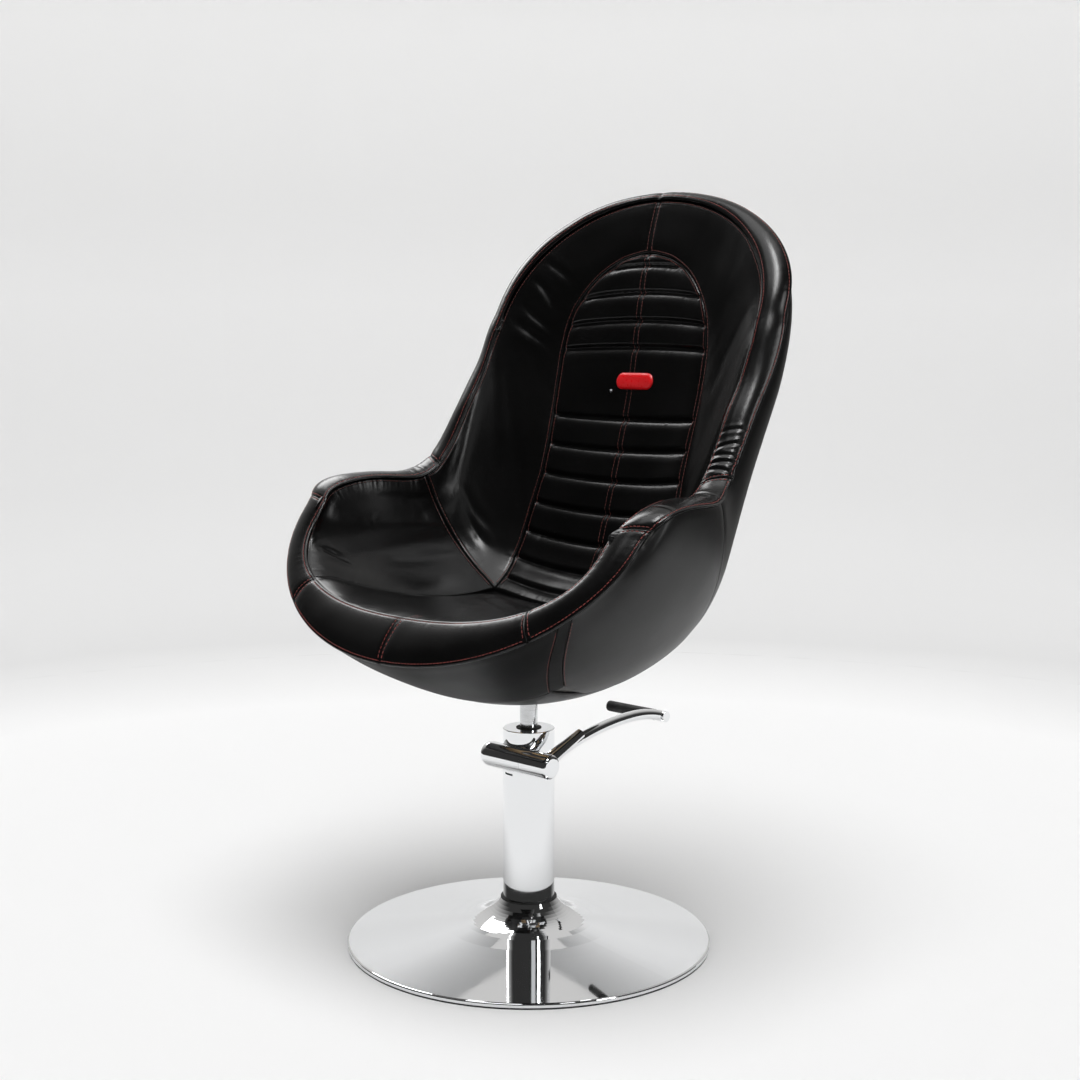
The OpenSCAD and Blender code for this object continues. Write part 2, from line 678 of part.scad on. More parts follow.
guide_wall = 4;
wiper_h = 6;
wiper_step = 2;
wiper_lip = 1;
head_edge = 1;
module pump_head() {
    color([0.85, 0.86, 0.88]) difference() {
        union() {
            translate([0, 0, head_z]) cylinder(r = column_r, h = head_h - head_edge);
            translate([0, 0, head_top - head_edge])
                cylinder(r1 = column_r, r2 = column_r - head_edge, h = head_edge);
            translate([0, 0, head_z - head_step]) cylinder(r = reservoir_bore, h = head_step);
            on_shaft(boss_left + boss_r / 2) cylinder(r = boss_r, h = boss_right - boss_left - boss_r / 2);
            on_shaft(boss_left + boss_r / 2) rotate_extrude() intersection() {
                scale(boss_r) circle(r = 1);
                translate([0, -boss_r / 2]) square([boss_r, boss_r / 2]);
            }
        }
        translate([0, 0, head_z - head_step - cut])
            cylinder(r = rod_r + guide_wall, h = head_h + head_step + cut - wiper_h);
        translate([0, 0, head_top - wiper_h - cut])
            cylinder(r = rod_r + guide_wall + wiper_step, h = wiper_h + 2 * cut);
        on_shaft(boss_left + boss_r) cylinder(r = shaft_r + pedal_bush_wall, h = boss_right - boss_left);
        translate([-finger_w / 2 - cavity_gap, shaft_y, shaft_z - finger_drop - cavity_gap])
            cube([finger_w + 2 * cavity_gap, finger_l + cavity_gap,
                finger_drop + finger_t / 2 + 2 * cavity_gap]);
        translate([0, plunger_y, head_z - head_step - cut])
            cylinder(r = plunger_r + run_gap, h = head_h / 2);
    }
}

module guide_bush() {
    color([0.72, 0.52, 0.25]) translate([0, 0, head_z - head_step])
        tube(rod_r + guide_wall, rod_r + run_gap, head_h + head_step - wiper_h);
}

module rod_wiper() {
    color([0.04, 0.04, 0.04]) translate([0, 0, head_top - wiper_h])
        tube(rod_r + guide_wall + wiper_step, rod_r + run_gap, wiper_h + wiper_lip);
}

module pedal_bushes() {
    color([0.72, 0.52, 0.25]) {
        on_shaft(boss_left + boss_r) tube(shaft_r + pedal_bush_wall, shaft_r + run_gap, pedal_bush_l);
        on_shaft(boss_right - pedal_bush_l) tube(shaft_r + pedal_bush_wall, shaft_r + run_gap, pedal_bush_l);
    }
}

// Plunger and its spring
plunger_top = shaft_z - finger_t / 2 - finger_gap;
collar_drop = 9;
collar_z = head_z - head_step - collar_drop;
plunger_in = 60;
collar_t = 3;
spring_r = 4.8;
module plunger() {
    color([0.55, 0.55, 0.57]) {
        translate([0, plunger_y, barrel_top - plunger_in])
            cylinder(r = plunger_r, h = plunger_top - barrel_top + plunger_in);
        translate([0, plunger_y, collar_z]) cylinder(r = spring_r, h = collar_t);
    }
}

module plunger_spring() {
    color([0.6, 0.6, 0.6]) translate([0, plunger_y, barrel_top])
        tube(spring_r, plunger_r + face_gap, collar_z - barrel_top);
}

// Pedal

hub_l = 54;
hub_round = 6;
shaft_short = 8;
shaft_tip = boss_right + hub_l - shaft_short;
module pedal_shaft() {
    color([0.6, 0.6, 0.62]) difference() {
        union() {
            on_shaft(boss_left + boss_r) cylinder(r = shaft_r, h = shaft_tip - boss_left - boss_r);
            translate([-finger_w / 2, shaft_y, shaft_z - finger_t / 2]) cube([finger_w, finger_l, finger_t]);
        }
        translate([lever_x, shaft_y, shaft_z - shaft_r - cut]) cylinder(r = screw_r, h = shaft_r);
    }
}

// The lever rises along one arc to its top and falls along a tighter one to its tip
lever_x = 75;
lever_rise_y = 210;
lever_rise = 43;
lever_top_y = shaft_y + lever_rise_y;
lever_top_z = shaft_z + lever_rise;
rise_r = 560;
fall_r = 240;
rise_angle = asin((lever_top_y - shaft_y) / rise_r);
lever_tip_y = shaft_y + lever_reach;
fall_angle = asin((lever_tip_y - lever_top_y) / fall_r);
lever_tip_z = lever_top_z - fall_r * (1 - cos(fall_angle));
lever_root_z = lever_top_z - rise_r * (1 - cos(rise_angle));
root_r = 11.5;
root_l = 90;
tip_l = 22;
screw_r = 4;
screw_sink = 1;
screw_socket = 2;
foot_bar_r = 5.5;

module lever_arc(r, from, to) {
    translate([lever_x, lever_top_y, lever_top_z - r]) rotate([0, -90, 0]) rotate([0, 0, from])
        rotate_extrude(angle = to - from, $fn = 180) translate([r, 0]) circle(r = lever_r, $fn = 32);
}

module pedal_lever() {
    color([0.85, 0.86, 0.88]) difference() {
        union() {
            on_shaft(boss_right + face_gap) cylinder(r = boss_r, h = hub_l - hub_round - face_gap);
            on_shaft(boss_right + hub_l - hub_round) rotate_extrude() polygon(concat([[0, 0], [boss_r, 0]],
                [for (a = [15 : 15 : 90]) [boss_r - hub_round * (1 - cos(a)), hub_round * sin(a)]],
                [[0, hub_round]]));
            lever_arc(rise_r, -rise_angle, 0);
            lever_arc(fall_r, 0, fall_angle);
            translate([lever_x, lever_top_y - lever_r / 2, lever_top_z]) rotate([-90, 0, 0])
                cylinder(r = lever_r / 2, h = lever_r);
            translate([lever_x, shaft_y, lever_root_z]) rotate([rise_angle - 90, 0, 0])
                cylinder(r1 = root_r, r2 = lever_r, h = root_l);
            translate([lever_x - tip_l / 2, lever_tip_y, lever_tip_z]) rotate([0, 90, 0])
                cylinder(r = grip_r, h = tip_l);
            translate([lever_x - tip_l / 2 - grip_l, lever_tip_y, lever_tip_z]) rotate([0, 90, 0])
                cylinder(r = foot_bar_r, h = grip_l + cut);
        }
        on_shaft(boss_right) cylinder(r = shaft_r, h = shaft_tip - boss_right);
        translate([lever_x, shaft_y, shaft_z - boss_r - cut]) cylinder(r = screw_r, h = boss_r);
    }
}

module lever_set_screw() {
    color([0.1, 0.1, 0.1]) translate([lever_x, shaft_y, shaft_z - boss_r + screw_sink]) difference() {
        cylinder(r = screw_r, h = boss_r - shaft_r + screw_sink);
        translate([0, 0, -cut]) cylinder(r = screw_r / 2, h = cut + screw_socket, $fn = 6);
    }
}

module foot_grip() {
    left = lever_x - tip_l / 2 - grip_l;
    wall = grip_r - foot_bar_r;
    color([0.04, 0.04, 0.04]) translate([left - wall, lever_tip_y, lever_tip_z]) rotate([0, 90, 0])
        difference() {
            rotate_extrude() polygon(concat([[0, 0]],
                [for (a = [0 : 15 : 90]) [grip_r - wall * (1 - sin(a)), wall * (1 - cos(a))]],
                [[grip_r, grip_l + wall - face_gap], [0, grip_l + wall - face_gap]]));
            translate([0, 0, wall]) cylinder(r = foot_bar_r, h = grip_l + cut);
        }
}

// Piston and rod

piston_z = foot_z + nut_h + nut_gap;
tail_r = 8;
tapped_r = 4;
tapped_l = 20;
nut_wall = 6;
module piston_rod() {
    color([0.88, 0.89, 0.9]) difference() {
        union() {
            translate([0, 0, piston_z + piston_h]) cylinder(r = rod_r, h = shoulder_z - piston_z - piston_h);
            translate([0, 0, piston_z - nut_h]) cylinder(r = tail_r, h = piston_h + nut_h);
            translate([0, 0, shoulder_z]) cylinder(r = spigot_r, h = plate_top + 2 * face_gap - shoulder_z);
        }
        translate([0, 0, plate_top + 2 * face_gap - tapped_l]) cylinder(r = tapped_r, h = tapped_l + cut);
    }
}

seal_w = 5;
seal_depth = 3;
module piston() {
    color([0.72, 0.73, 0.75]) translate([0, 0, piston_z]) difference() {
        tube(bore_r - run_gap, tail_r, piston_h);
        translate([0, 0, (piston_h - seal_w) / 2]) tube(bore_r + cut, bore_r - seal_depth, seal_w);
    }
}

module piston_seal() {
    color([0.04, 0.04, 0.04]) translate([0, 0, piston_z + (piston_h - seal_w) / 2])
        tube(bore_r - run_gap, bore_r - seal_depth, seal_w);
}

module piston_nut() {
    color([0.6, 0.6, 0.62]) translate([0, 0, piston_z - nut_h]) difference() {
        cylinder(r = tail_r + nut_wall, h = nut_h, $fn = 6);
        translate([0, 0, -cut]) cylinder(r = tail_r, h = nut_h + 2 * cut);
    }
}

washer_inset = 1;
module thrust_washer() {
    color([0.72, 0.52, 0.25]) translate([0, 0, shoulder_z]) tube(hub_r - washer_inset, spigot_r, washer_t);
}

retainer_t = 3;
retainer_z = plate_top + 2 * face_gap;
module retaining_washer() {
    color([0.6, 0.6, 0.62]) translate([0, 0, retainer_z]) tube(retainer_r, tapped_r, retainer_t);
}

screw_head_h = 5;
thread_end = 2;
module retaining_screw() {
    color([0.3, 0.3, 0.32]) {
        translate([0, 0, retainer_z + retainer_t]) cylinder(r = tapped_r * 1.8, h = screw_head_h, $fn = 6);
        translate([0, 0, retainer_z - tapped_l + thread_end])
            cylinder(r = tapped_r, h = retainer_t + tapped_l - thread_end);
    }
}

base_dish();
floor_ring();
ballast_disc();
dish_hub();
pump_flange();
flange_bolts();
column_cover();
column_grommet();
reservoir_tube();
foot_block();
pump_cylinder();
pump_barrel();
pump_head();
guide_bush();
rod_wiper();
pedal_bushes();
plunger();
plunger_spring();
pedal_shaft();
pedal_lever();
lever_set_screw();
foot_grip();
piston_rod();
piston();
piston_seal();
piston_nut();
thrust_washer();
retaining_washer();
retaining_screw();
seat_plate();
swivel_bush();
seat_bolts();
tee_nuts();
seat_platform();
bucket_shell();
underside_panel();
outer_front_panel();
outer_strip_left();
outer_strip_right();
outer_side_left();
outer_side_right();
outer_back_panel();
rim_band_front();
rim_band_arm_left();
rim_band_arm_right();
rim_band_back();
seat_cushion();
arm_pad_left();
arm_pad_right();
back_pad();
wing_pad_left();
wing_pad_right();
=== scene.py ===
"""Looks of the hairdressing chair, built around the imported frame. Lengths are in metres.

The bucket is two smooth surfaces, an inner and an outer one. A place on them is (u, v): u runs along
the spine from the front lip to the top, and v across from the left rim, -1, to the right rim, 1.
"""
import json
import math

import bmesh
import bpy
import numpy as np
from mathutils import Matrix, Vector, kdtree, noise
from mathutils.bvhtree import BVHTree


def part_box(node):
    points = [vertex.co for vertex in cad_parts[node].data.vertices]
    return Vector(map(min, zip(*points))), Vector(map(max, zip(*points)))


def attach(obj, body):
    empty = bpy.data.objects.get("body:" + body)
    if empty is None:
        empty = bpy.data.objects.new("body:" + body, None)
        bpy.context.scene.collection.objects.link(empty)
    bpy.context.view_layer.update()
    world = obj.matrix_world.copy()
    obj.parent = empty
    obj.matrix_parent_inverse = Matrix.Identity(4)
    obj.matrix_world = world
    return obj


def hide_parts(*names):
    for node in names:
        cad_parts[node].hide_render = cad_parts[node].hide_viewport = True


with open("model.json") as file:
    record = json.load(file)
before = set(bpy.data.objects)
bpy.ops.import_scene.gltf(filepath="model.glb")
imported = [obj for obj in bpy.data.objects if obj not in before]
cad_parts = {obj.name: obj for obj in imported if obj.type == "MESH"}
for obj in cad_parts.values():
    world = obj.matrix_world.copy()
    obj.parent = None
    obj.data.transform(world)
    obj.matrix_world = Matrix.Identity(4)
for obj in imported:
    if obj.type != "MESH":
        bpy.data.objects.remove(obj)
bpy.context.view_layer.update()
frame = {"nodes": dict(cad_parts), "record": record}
MM = 0.001

# Driving sizes of the bucket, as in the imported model
SEAT_W = 742 * MM
SEAT_D = 674 * MM
SEAT_H = 795 * MM
UNDER_Z = 398 * MM
COVER_T = 4 * MM
SEAM_GAP = 0.4 * MM
PAD_DEPTH = 15.2 * MM
PLATFORM_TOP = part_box("seat_platform")[1].z
BAND_EDGE = 3 * MM
BAND_CROWN = 11 * MM
BAND_LEAST = 1.2 * MM
BAND_BACK = 0.8 * MM
BAND_STEP, BAND_COLS, BAND_POWER = 2.4 * MM, 14, 2.3
LEAST_COVER = 0.9 * MM
RECESS_R = 96 * MM
PLATFORM_CLEAR = 0.8 * MM
LEAST_PAD = 2.4 * MM
THICK_FILL, FIRM_FILL, COVER_FILL = 0.8, 0.75, 0.3
SIDE = {"right": 1, "left": -1}

# Spines hold [y, z] and rims [x, y, z], as shares of the bucket's depth, height and half width
INNER_SPINE_SHARES = [[-.395, .200], [-.250, .180], [-.075, .165], [.105, .170], [.215, .225], [.265, .325],
    [.305, .435], [.345, .550], [.375, .670], [.410, .835], [.465, .990]]
OUTER_SPINE_SHARES = [[-.465, .120], [-.350, .065], [-.135, .006], [.095, .012], [.240, .078], [.315, .205],
    [.385, .345], [.465, .495], [.520, .650], [.535, .835], [.500, 1.000]]
INNER_RIM_SHARES = [[.815, -.245, .355], [.845, -.205, .390], [.840, -.135, .410], [.810, -.055, .415],
    [.780, .025, .410], [.755, .085, .420], [.745, .130, .455], [.740, .170, .505], [.735, .210, .565],
    [.735, .250, .615], [.735, .280, .665], [.734, .305, .710], [.726, .325, .745]]
OUTER_RIM_SHARES = [[.955, -.225, .360], [.995, -.180, .395], [1.000, -.115, .410], [.975, -.030, .410],
    [.935, .050, .410], [.885, .115, .430], [.860, .165, .470], [.850, .215, .530], [.845, .260, .585],
    [.844, .305, .640], [.839, .340, .695], [.831, .360, .735], [.816, .380, .770]]
INNER_FULL_SHARES = [2.4, 2.0]
# Half width of the seat cushion and the back pad along the spine, as [u, v]
EDGE_SHARES = [[0, .57], [.05, .52], [.10, .44], [.14, .385], [.18, .33], [.22, .305], [.26, .30], [.31, .30],
    [.345, .32], [.40, .35], [.46, .353], [.52, .348], [.58, .34], [.635, .345], [.69, .357], [.747, .365],
    [.805, .368], [.84, .355], [.858, .34], [.875, .313], [.892, .268], [.904, .228], [.91, .20],
    [.916, .165], [.923, .115], [.93, 0]]
CREASE_SHARE = .31
ARCH_SHARE = .93
# How far the seam on top of the arm climbs from the crease to the rim
RISE_SHARE = .09
# Sewn channels below and above the plain middle of the back pad
CHANNEL_SHARES = [.345, .40, .46, .52, .58, .635, .69, .811, .845, .879, .913]
UNDER_FRONT_SHARE = .17
UNDER_BACK_SHARE = .345
UNDER_SIDE_SHARE = .30
FRONT_SIDE_SHARE = .60
STRIP_SHARE = .05
BAND_FRONT_SHARE = .50
BAND_JOINT_SHARE = .46


# Smooth curves and the two surfaces

def smooth_keys(shares, scale, shift):
    """Evenly spaced keys with the tangents that carry one smooth curve through them."""
    keys = np.array(shares) * scale + shift
    n = len(keys)
    system = np.diag(np.full(n, 4.0)) + np.diag(np.ones(n - 1), 1) + np.diag(np.ones(n - 1), -1)
    right = np.zeros_like(keys)
    right[1:-1] = 3 * (keys[2:] - keys[:-2])
    system[0, :2] = 1, 0
    system[-1, -2:] = 0, 1
    right[0] = keys[1] - keys[0]
    right[-1] = keys[-1] - keys[-2]
    if keys.shape[1] == 3:
        right[0, 0] = right[-1, 0] = 0
    return keys, np.linalg.solve(system, right)


def curve(keyed, share):
    keys, slopes = keyed
    place = np.clip(share, 0, 1) * (len(keys) - 1)
    i = np.minimum(np.floor(place).astype(int), len(keys) - 2)
    f = (place - i)[..., None]
    a, b, m, n = keys[i], keys[i + 1], slopes[i], slopes[i + 1]
    return a + f * m + f ** 2 * (3 * (b - a) - 2 * m - n) + f ** 3 * (2 * (a - b) + m + n)


SPINE_SCALE, SPINE_SHIFT = [SEAT_D, SEAT_H], [0, UNDER_Z]
RIM_SCALE, RIM_SHIFT = [SEAT_W / 2, SEAT_D, SEAT_H], [0, 0, UNDER_Z]
INNER_SPINE = smooth_keys(INNER_SPINE_SHARES, SPINE_SCALE, SPINE_SHIFT)
OUTER_SPINE = smooth_keys(OUTER_SPINE_SHARES, SPINE_SCALE, SPINE_SHIFT)
INNER_RIM = smooth_keys(INNER_RIM_SHARES, RIM_SCALE, RIM_SHIFT)
OUTER_RIM = smooth_keys(OUTER_RIM_SHARES, RIM_SCALE, RIM_SHIFT)


def row_point(spine, rim, full, u, v):
    """A half oval from the spine to the rim; full is 2 for an ellipse and more for a squarer row."""
    s, r = curve(spine, u), curve(rim, u)
    turn = np.abs(v) * np.pi / 2
    out = np.sin(turn) ** (2 / full)
    up = 1 - np.maximum(0, np.cos(turn)) ** (2 / full)
    return np.stack([np.sign(v) * r[..., 0] * out, s[..., 0] + (r[..., 1] - s[..., 0]) * up,
        s[..., 1] + (r[..., 2] - s[..., 1]) * up], -1)


def inner(u, v):
    full = INNER_FULL_SHARES[0] + (INNER_FULL_SHARES[1] - INNER_FULL_SHARES[0]) * u
    return row_point(INNER_SPINE, INNER_RIM, full, u, v)


def outer(u, v):
    return row_point(OUTER_SPINE, OUTER_RIM, 2, u, v)


def unit(vectors):
    return vectors / np.maximum(np.linalg.norm(vectors, axis=-1, keepdims=True), 1e-12)


def under_outer(u, v, depth):
    o = outer(u, v)
    return o + unit(inner(u, v) - o) * depth


def pad_back(u, v):
    back = under_outer(u, v, PAD_DEPTH)
    back[..., 2] = np.maximum(back[..., 2], PLATFORM_TOP + PLATFORM_CLEAR)
    return back


def mix(a, b, t):
    return a + (b - a) * t


def lengths(points):
    steps = np.linalg.norm(np.diff(points, axis=0), axis=1)
    return np.concatenate([[0], np.cumsum(steps)])


def table_at(places, marks, table):
    """The rows of a table at the given places between the marks of its rows."""
    return np.stack([np.interp(places, marks, column) for column in table.T], -1)


def smoothed(points, reach, closed=False):
    """A line sampled at even steps, rounded over about reach steps."""
    kernel = np.exp(-0.5 * (np.arange(-3 * reach, 3 * reach + 1) / reach) ** 2)
    kernel /= kernel.sum()
    pad = 3 * reach
    before, after = points[-pad:], points[:pad]
    if not closed:
        before, after = 2 * points[0] - points[pad:0:-1], 2 * points[-1] - points[-2:-pad - 2:-1]
    wide = np.concatenate([before, points, after])
    return np.stack([np.convolve(column, kernel, "valid") for column in wide.T], 1)


# The seam beside the seat cushion and round the back pad, rounded between its keys.
# Its plane has the spine's length along u and the row's length along v.
PLANE = np.array([990 * MM, 583 * MM])
GAP_U, GAP_V = SEAM_GAP / PLANE
_right = np.array(EDGE_SHARES) * PLANE
_loop = np.concatenate([_right, (_right * [1, -1])[-2::-1]])
_even = table_at(np.arange(0, lengths(_loop)[-1], MM), lengths(_loop), _loop)
EDGE_LINE = smoothed(_even, 9)[:len(_even) // 2 + 1] / PLANE
CREASE_STEP = int(np.argmin(np.abs(EDGE_LINE[:, 0] - CREASE_SHARE)))


def edge_v(u):
    """Half width of the cushion at u, up to the crease and along the back's sides."""
    return np.interp(u, EDGE_LINE[:, 0], EDGE_LINE[:, 1])


def beside(line, gap):
    """A line in (u, v), moved sideways by gap, to its left."""
    flat = line * PLANE
    run = unit(np.gradient(flat, axis=0))
    return (flat + np.stack([-run[:, 1], run[:, 0]], 1) * gap) / PLANE


def line_at(line, share):
    """Places on a (u, v) line at the given shares of its samples."""
    return table_at(np.clip(share, 0, 1) * (len(line) - 1), np.arange(len(line)), line)


def on_inner(line, side=1):
    return inner(line[:, 0], line[:, 1] * side)


def even_line(line, count=400):
    """The same (u, v) line, sampled at even steps of its real length on the inner surface."""
    along = lengths(on_inner(line))
    return table_at(np.linspace(0, along[-1], count), along, line)


def between(a, b, count=300):
    share = np.linspace(0, 1, count)[:, None]
    return np.array(a) * (1 - share) + np.array(b) * share


# Grids whose lines crowd towards the seams

STITCH_OFF = 4.5 * MM
CENTRE_OFF = 4.8 * MM
TROUGH_DEPTH, TROUGH_W = 0.35 * MM, 1.1 * MM
NEAR_SEAM = np.array([0, .12, .35, .7, 1.15, 1.7, 2.3, 3.0, 3.7, 4.5, 5.3, 6.4, 8, 10.2, 13]) * MM
NEAR_CENTRE = np.array([0, .5, 1.1, 1.9, 2.9, 3.9, 4.8, 5.7, 7.2, 9.5]) * MM


def crowd(total, count, near_start=NEAR_SEAM):
    """Lengths along a line of the given total: near steps at its ends and even steps between."""
    fit = min(1, total / 2.5 / max(near_start[-1], NEAR_SEAM[-1]))
    first, last = near_start * fit, total - NEAR_SEAM[::-1] * fit
    return np.concatenate([first, np.linspace(first[-1], last[0], count + 2)[1:-1], last])


def crowded_shares(points, count, centre=False):
    along = lengths(points)
    shares = np.linspace(0, 1, len(points))
    if not centre:
        return np.interp(crowd(along[-1], count), along, shares)
    half = along[-1] / 2
    side = crowd(half, count // 2, NEAR_CENTRE)
    return np.interp(np.concatenate([half - side[:0:-1], half + side]), along, shares)


def crowded_grid(place, surface, rows, cols, centre=False):
    """The (u, v) of a grid over a block, where place(s, t) gives (u, v), and its shares s and t."""
    dense = np.linspace(0, 1, 241)

    def across(s):
        return crowded_shares(surface(*place(np.full_like(dense, s), dense)), cols, centre)

    s_all = np.stack([crowded_shares(surface(*place(dense, np.full_like(dense, t))), rows)
        for t in across(0.5)], 1)
    t_all = np.stack([across(s) for s in s_all.mean(1)])
    return place(s_all, t_all), s_all, t_all


# Meshes

def link(name, data):
    item = bpy.data.objects.new(name, data)
    bpy.context.scene.collection.objects.link(item)
    return item


def smooth_mesh(name, points, faces, turned=True):
    """A smooth mesh; turned makes its faces look outwards."""
    mesh = bpy.data.meshes.new(name)
    mesh.from_pydata(np.asarray(points).tolist(), [], faces)
    if turned:
        work = bmesh.new()
        work.from_mesh(mesh)
        bmesh.ops.recalc_face_normals(work, faces=work.faces)
        work.to_mesh(mesh)
        work.free()
    mesh.polygons.foreach_set("use_smooth", [True] * len(mesh.polygons))
    mesh.update()
    return mesh


def grid_faces(numbers):
    a, b, c, d = numbers[:-1, :-1], numbers[1:, :-1], numbers[1:, 1:], numbers[:-1, 1:]
    return np.stack([a, b, c, d], -1).reshape(-1, 4).tolist()


def tube_faces(rings, turns, first=0, closed=True):
    """Faces between rings of points that follow each other."""
    corners = ((0, 0), (0, 1), (1, 1), (1, 0))
    return [[first + (k + up) * turns + (j + on) % turns for up, on in corners]
        for k in range(rings - 1) for j in range(turns if closed else turns - 1)]


def slab_mesh(name, top, back, skip=5):
    """A closed slab: a fine top grid, and a back that takes only every few rows and columns of its own."""
    rows, cols = top.shape[:2]
    keep_rows = sorted(set(range(0, rows, skip)) | {rows - 1})
    keep_cols = sorted(set(range(0, cols, skip)) | {cols - 1})
    numbers = np.arange(rows * cols).reshape(rows, cols)
    under = rows * cols + np.arange(len(keep_rows) * len(keep_cols)).reshape(len(keep_rows), -1)
    place = np.full((rows, cols), -1)
    place[np.ix_(keep_rows, keep_cols)] = under
    ring = [(0, j) for j in range(cols - 1)] + [(i, cols - 1) for i in range(rows - 1)] \
        + [(rows - 1, j) for j in range(cols - 1, 0, -1)] + [(i, 0) for i in range(rows - 1, 0, -1)]
    faces = grid_faces(numbers) + [f[::-1] for f in grid_faces(under)]
    kept = [k for k, spot in enumerate(ring) if place[spot] >= 0]
    for first, last in zip(kept, kept[1:] + [len(ring)]):
        run = [int(numbers[ring[k % len(ring)]]) for k in range(first, last + 1)]
        low, high = int(place[ring[first]]), int(place[ring[last % len(ring)]])
        half = len(run) // 2
        faces += [[run[k + 1], run[k], low] for k in range(half)]
        faces.append([run[half], low, high])
        faces += [[run[k + 1], run[k], high] for k in range(half, len(run) - 1)]
    points = np.concatenate([top.reshape(-1, 3), back[np.ix_(keep_rows, keep_cols)].reshape(-1, 3)])
    return smooth_mesh(name, points, faces)


def grid_normals(points, towards):
    """Unit normals of a grid, on the side that the vectors towards point to."""
    normal = np.cross(np.gradient(points, axis=0), np.gradient(points, axis=1))
    size = np.linalg.norm(normal, axis=-1, keepdims=True)
    normal = np.where(size > 1e-16, normal / np.maximum(size, 1e-16), unit(towards))
    return normal * np.sign(np.sum(normal * towards, -1, keepdims=True) + 1e-12)


def distance_along(points, line):
    """For each point, its distance from a line and the length along the line where it is nearest."""
    tree = kdtree.KDTree(len(line))
    for k, p in enumerate(line):
        tree.insert(p, k)
    tree.balance()
    flat = points.reshape(-1, 3)
    nearest = np.array([tree.find(p)[1] for p in flat])
    along = lengths(line)
    best = np.full(len(flat), np.inf)
    place = np.zeros(len(flat))
    for step in (-1, 0):
        k = np.clip(nearest + step, 0, len(line) - 2)
        a, d = line[k], line[k + 1] - line[k]
        t = np.clip(np.sum((flat - a) * d, 1) / np.maximum(np.sum(d * d, 1), 1e-18), 0, 1)
        far = np.linalg.norm(flat - a - d * t[:, None], axis=1)
        closer = far < best
        best[closer] = far[closer]
        place[closer] = (along[k] + t * np.linalg.norm(d, axis=1))[closer]
    return best.reshape(points.shape[:-1]), place.reshape(points.shape[:-1])


# Forms of stuffed leather. Their sizes are in millimetres, distances and lengths along a seam in metres.

def rolled_edge(d, roll, draw, reach):
    """How the skin falls towards a seam at distance d: a rolled edge after a long draw."""
    roll, draw, reach = roll * MM, draw * MM, reach * MM
    over = np.maximum(0, roll - d)
    return np.sqrt(roll ** 2 - over ** 2) - roll - draw * np.maximum(0, 1 - d / reach) ** 2


def stitch_trough(d, off=STITCH_OFF):
    """The furrow that a row of stitches pulls into the leather."""
    return -TROUGH_DEPTH * np.exp(-((d - off) / TROUGH_W) ** 2)


def ripple(along, seed, wave):
    """An uneven wave along a seam, between about -1 and 1."""
    rng = np.random.default_rng(seed)
    total = np.zeros_like(along)
    for scale in (1, 1.37, 0.71, 2.3):
        total += np.sin(2 * np.pi * along / (wave * scale) + rng.uniform(0, 2 * np.pi))
    swell = 0.5 + 0.5 * np.sin(2 * np.pi * along / (wave * 9.3) + rng.uniform(0, 2 * np.pi))
    return total / 4 * (0.35 + 0.65 * swell)


def puckers(d, along, seed, size=0.45, wave=10, reach=11):
    """Small gathers of the leather, which die away from their seam."""
    fade = np.exp(-((d - 3 * MM) / (reach * MM)) ** 2) * np.minimum(1, d / (2 * MM))
    return size * MM * ripple(along, seed, wave * MM) * fade


def unevenness(points, seed, size, wave):
    """Slow swells of the foam under the leather."""
    shift = Vector((seed * 3.17, seed * 1.31, seed * 2.23))
    swell = [noise.noise(Vector(p) / (wave * MM) + shift) for p in points.reshape(-1, 3)]
    return size * MM * np.array(swell).reshape(points.shape[:-1])


# Materials

FINISHES = {}


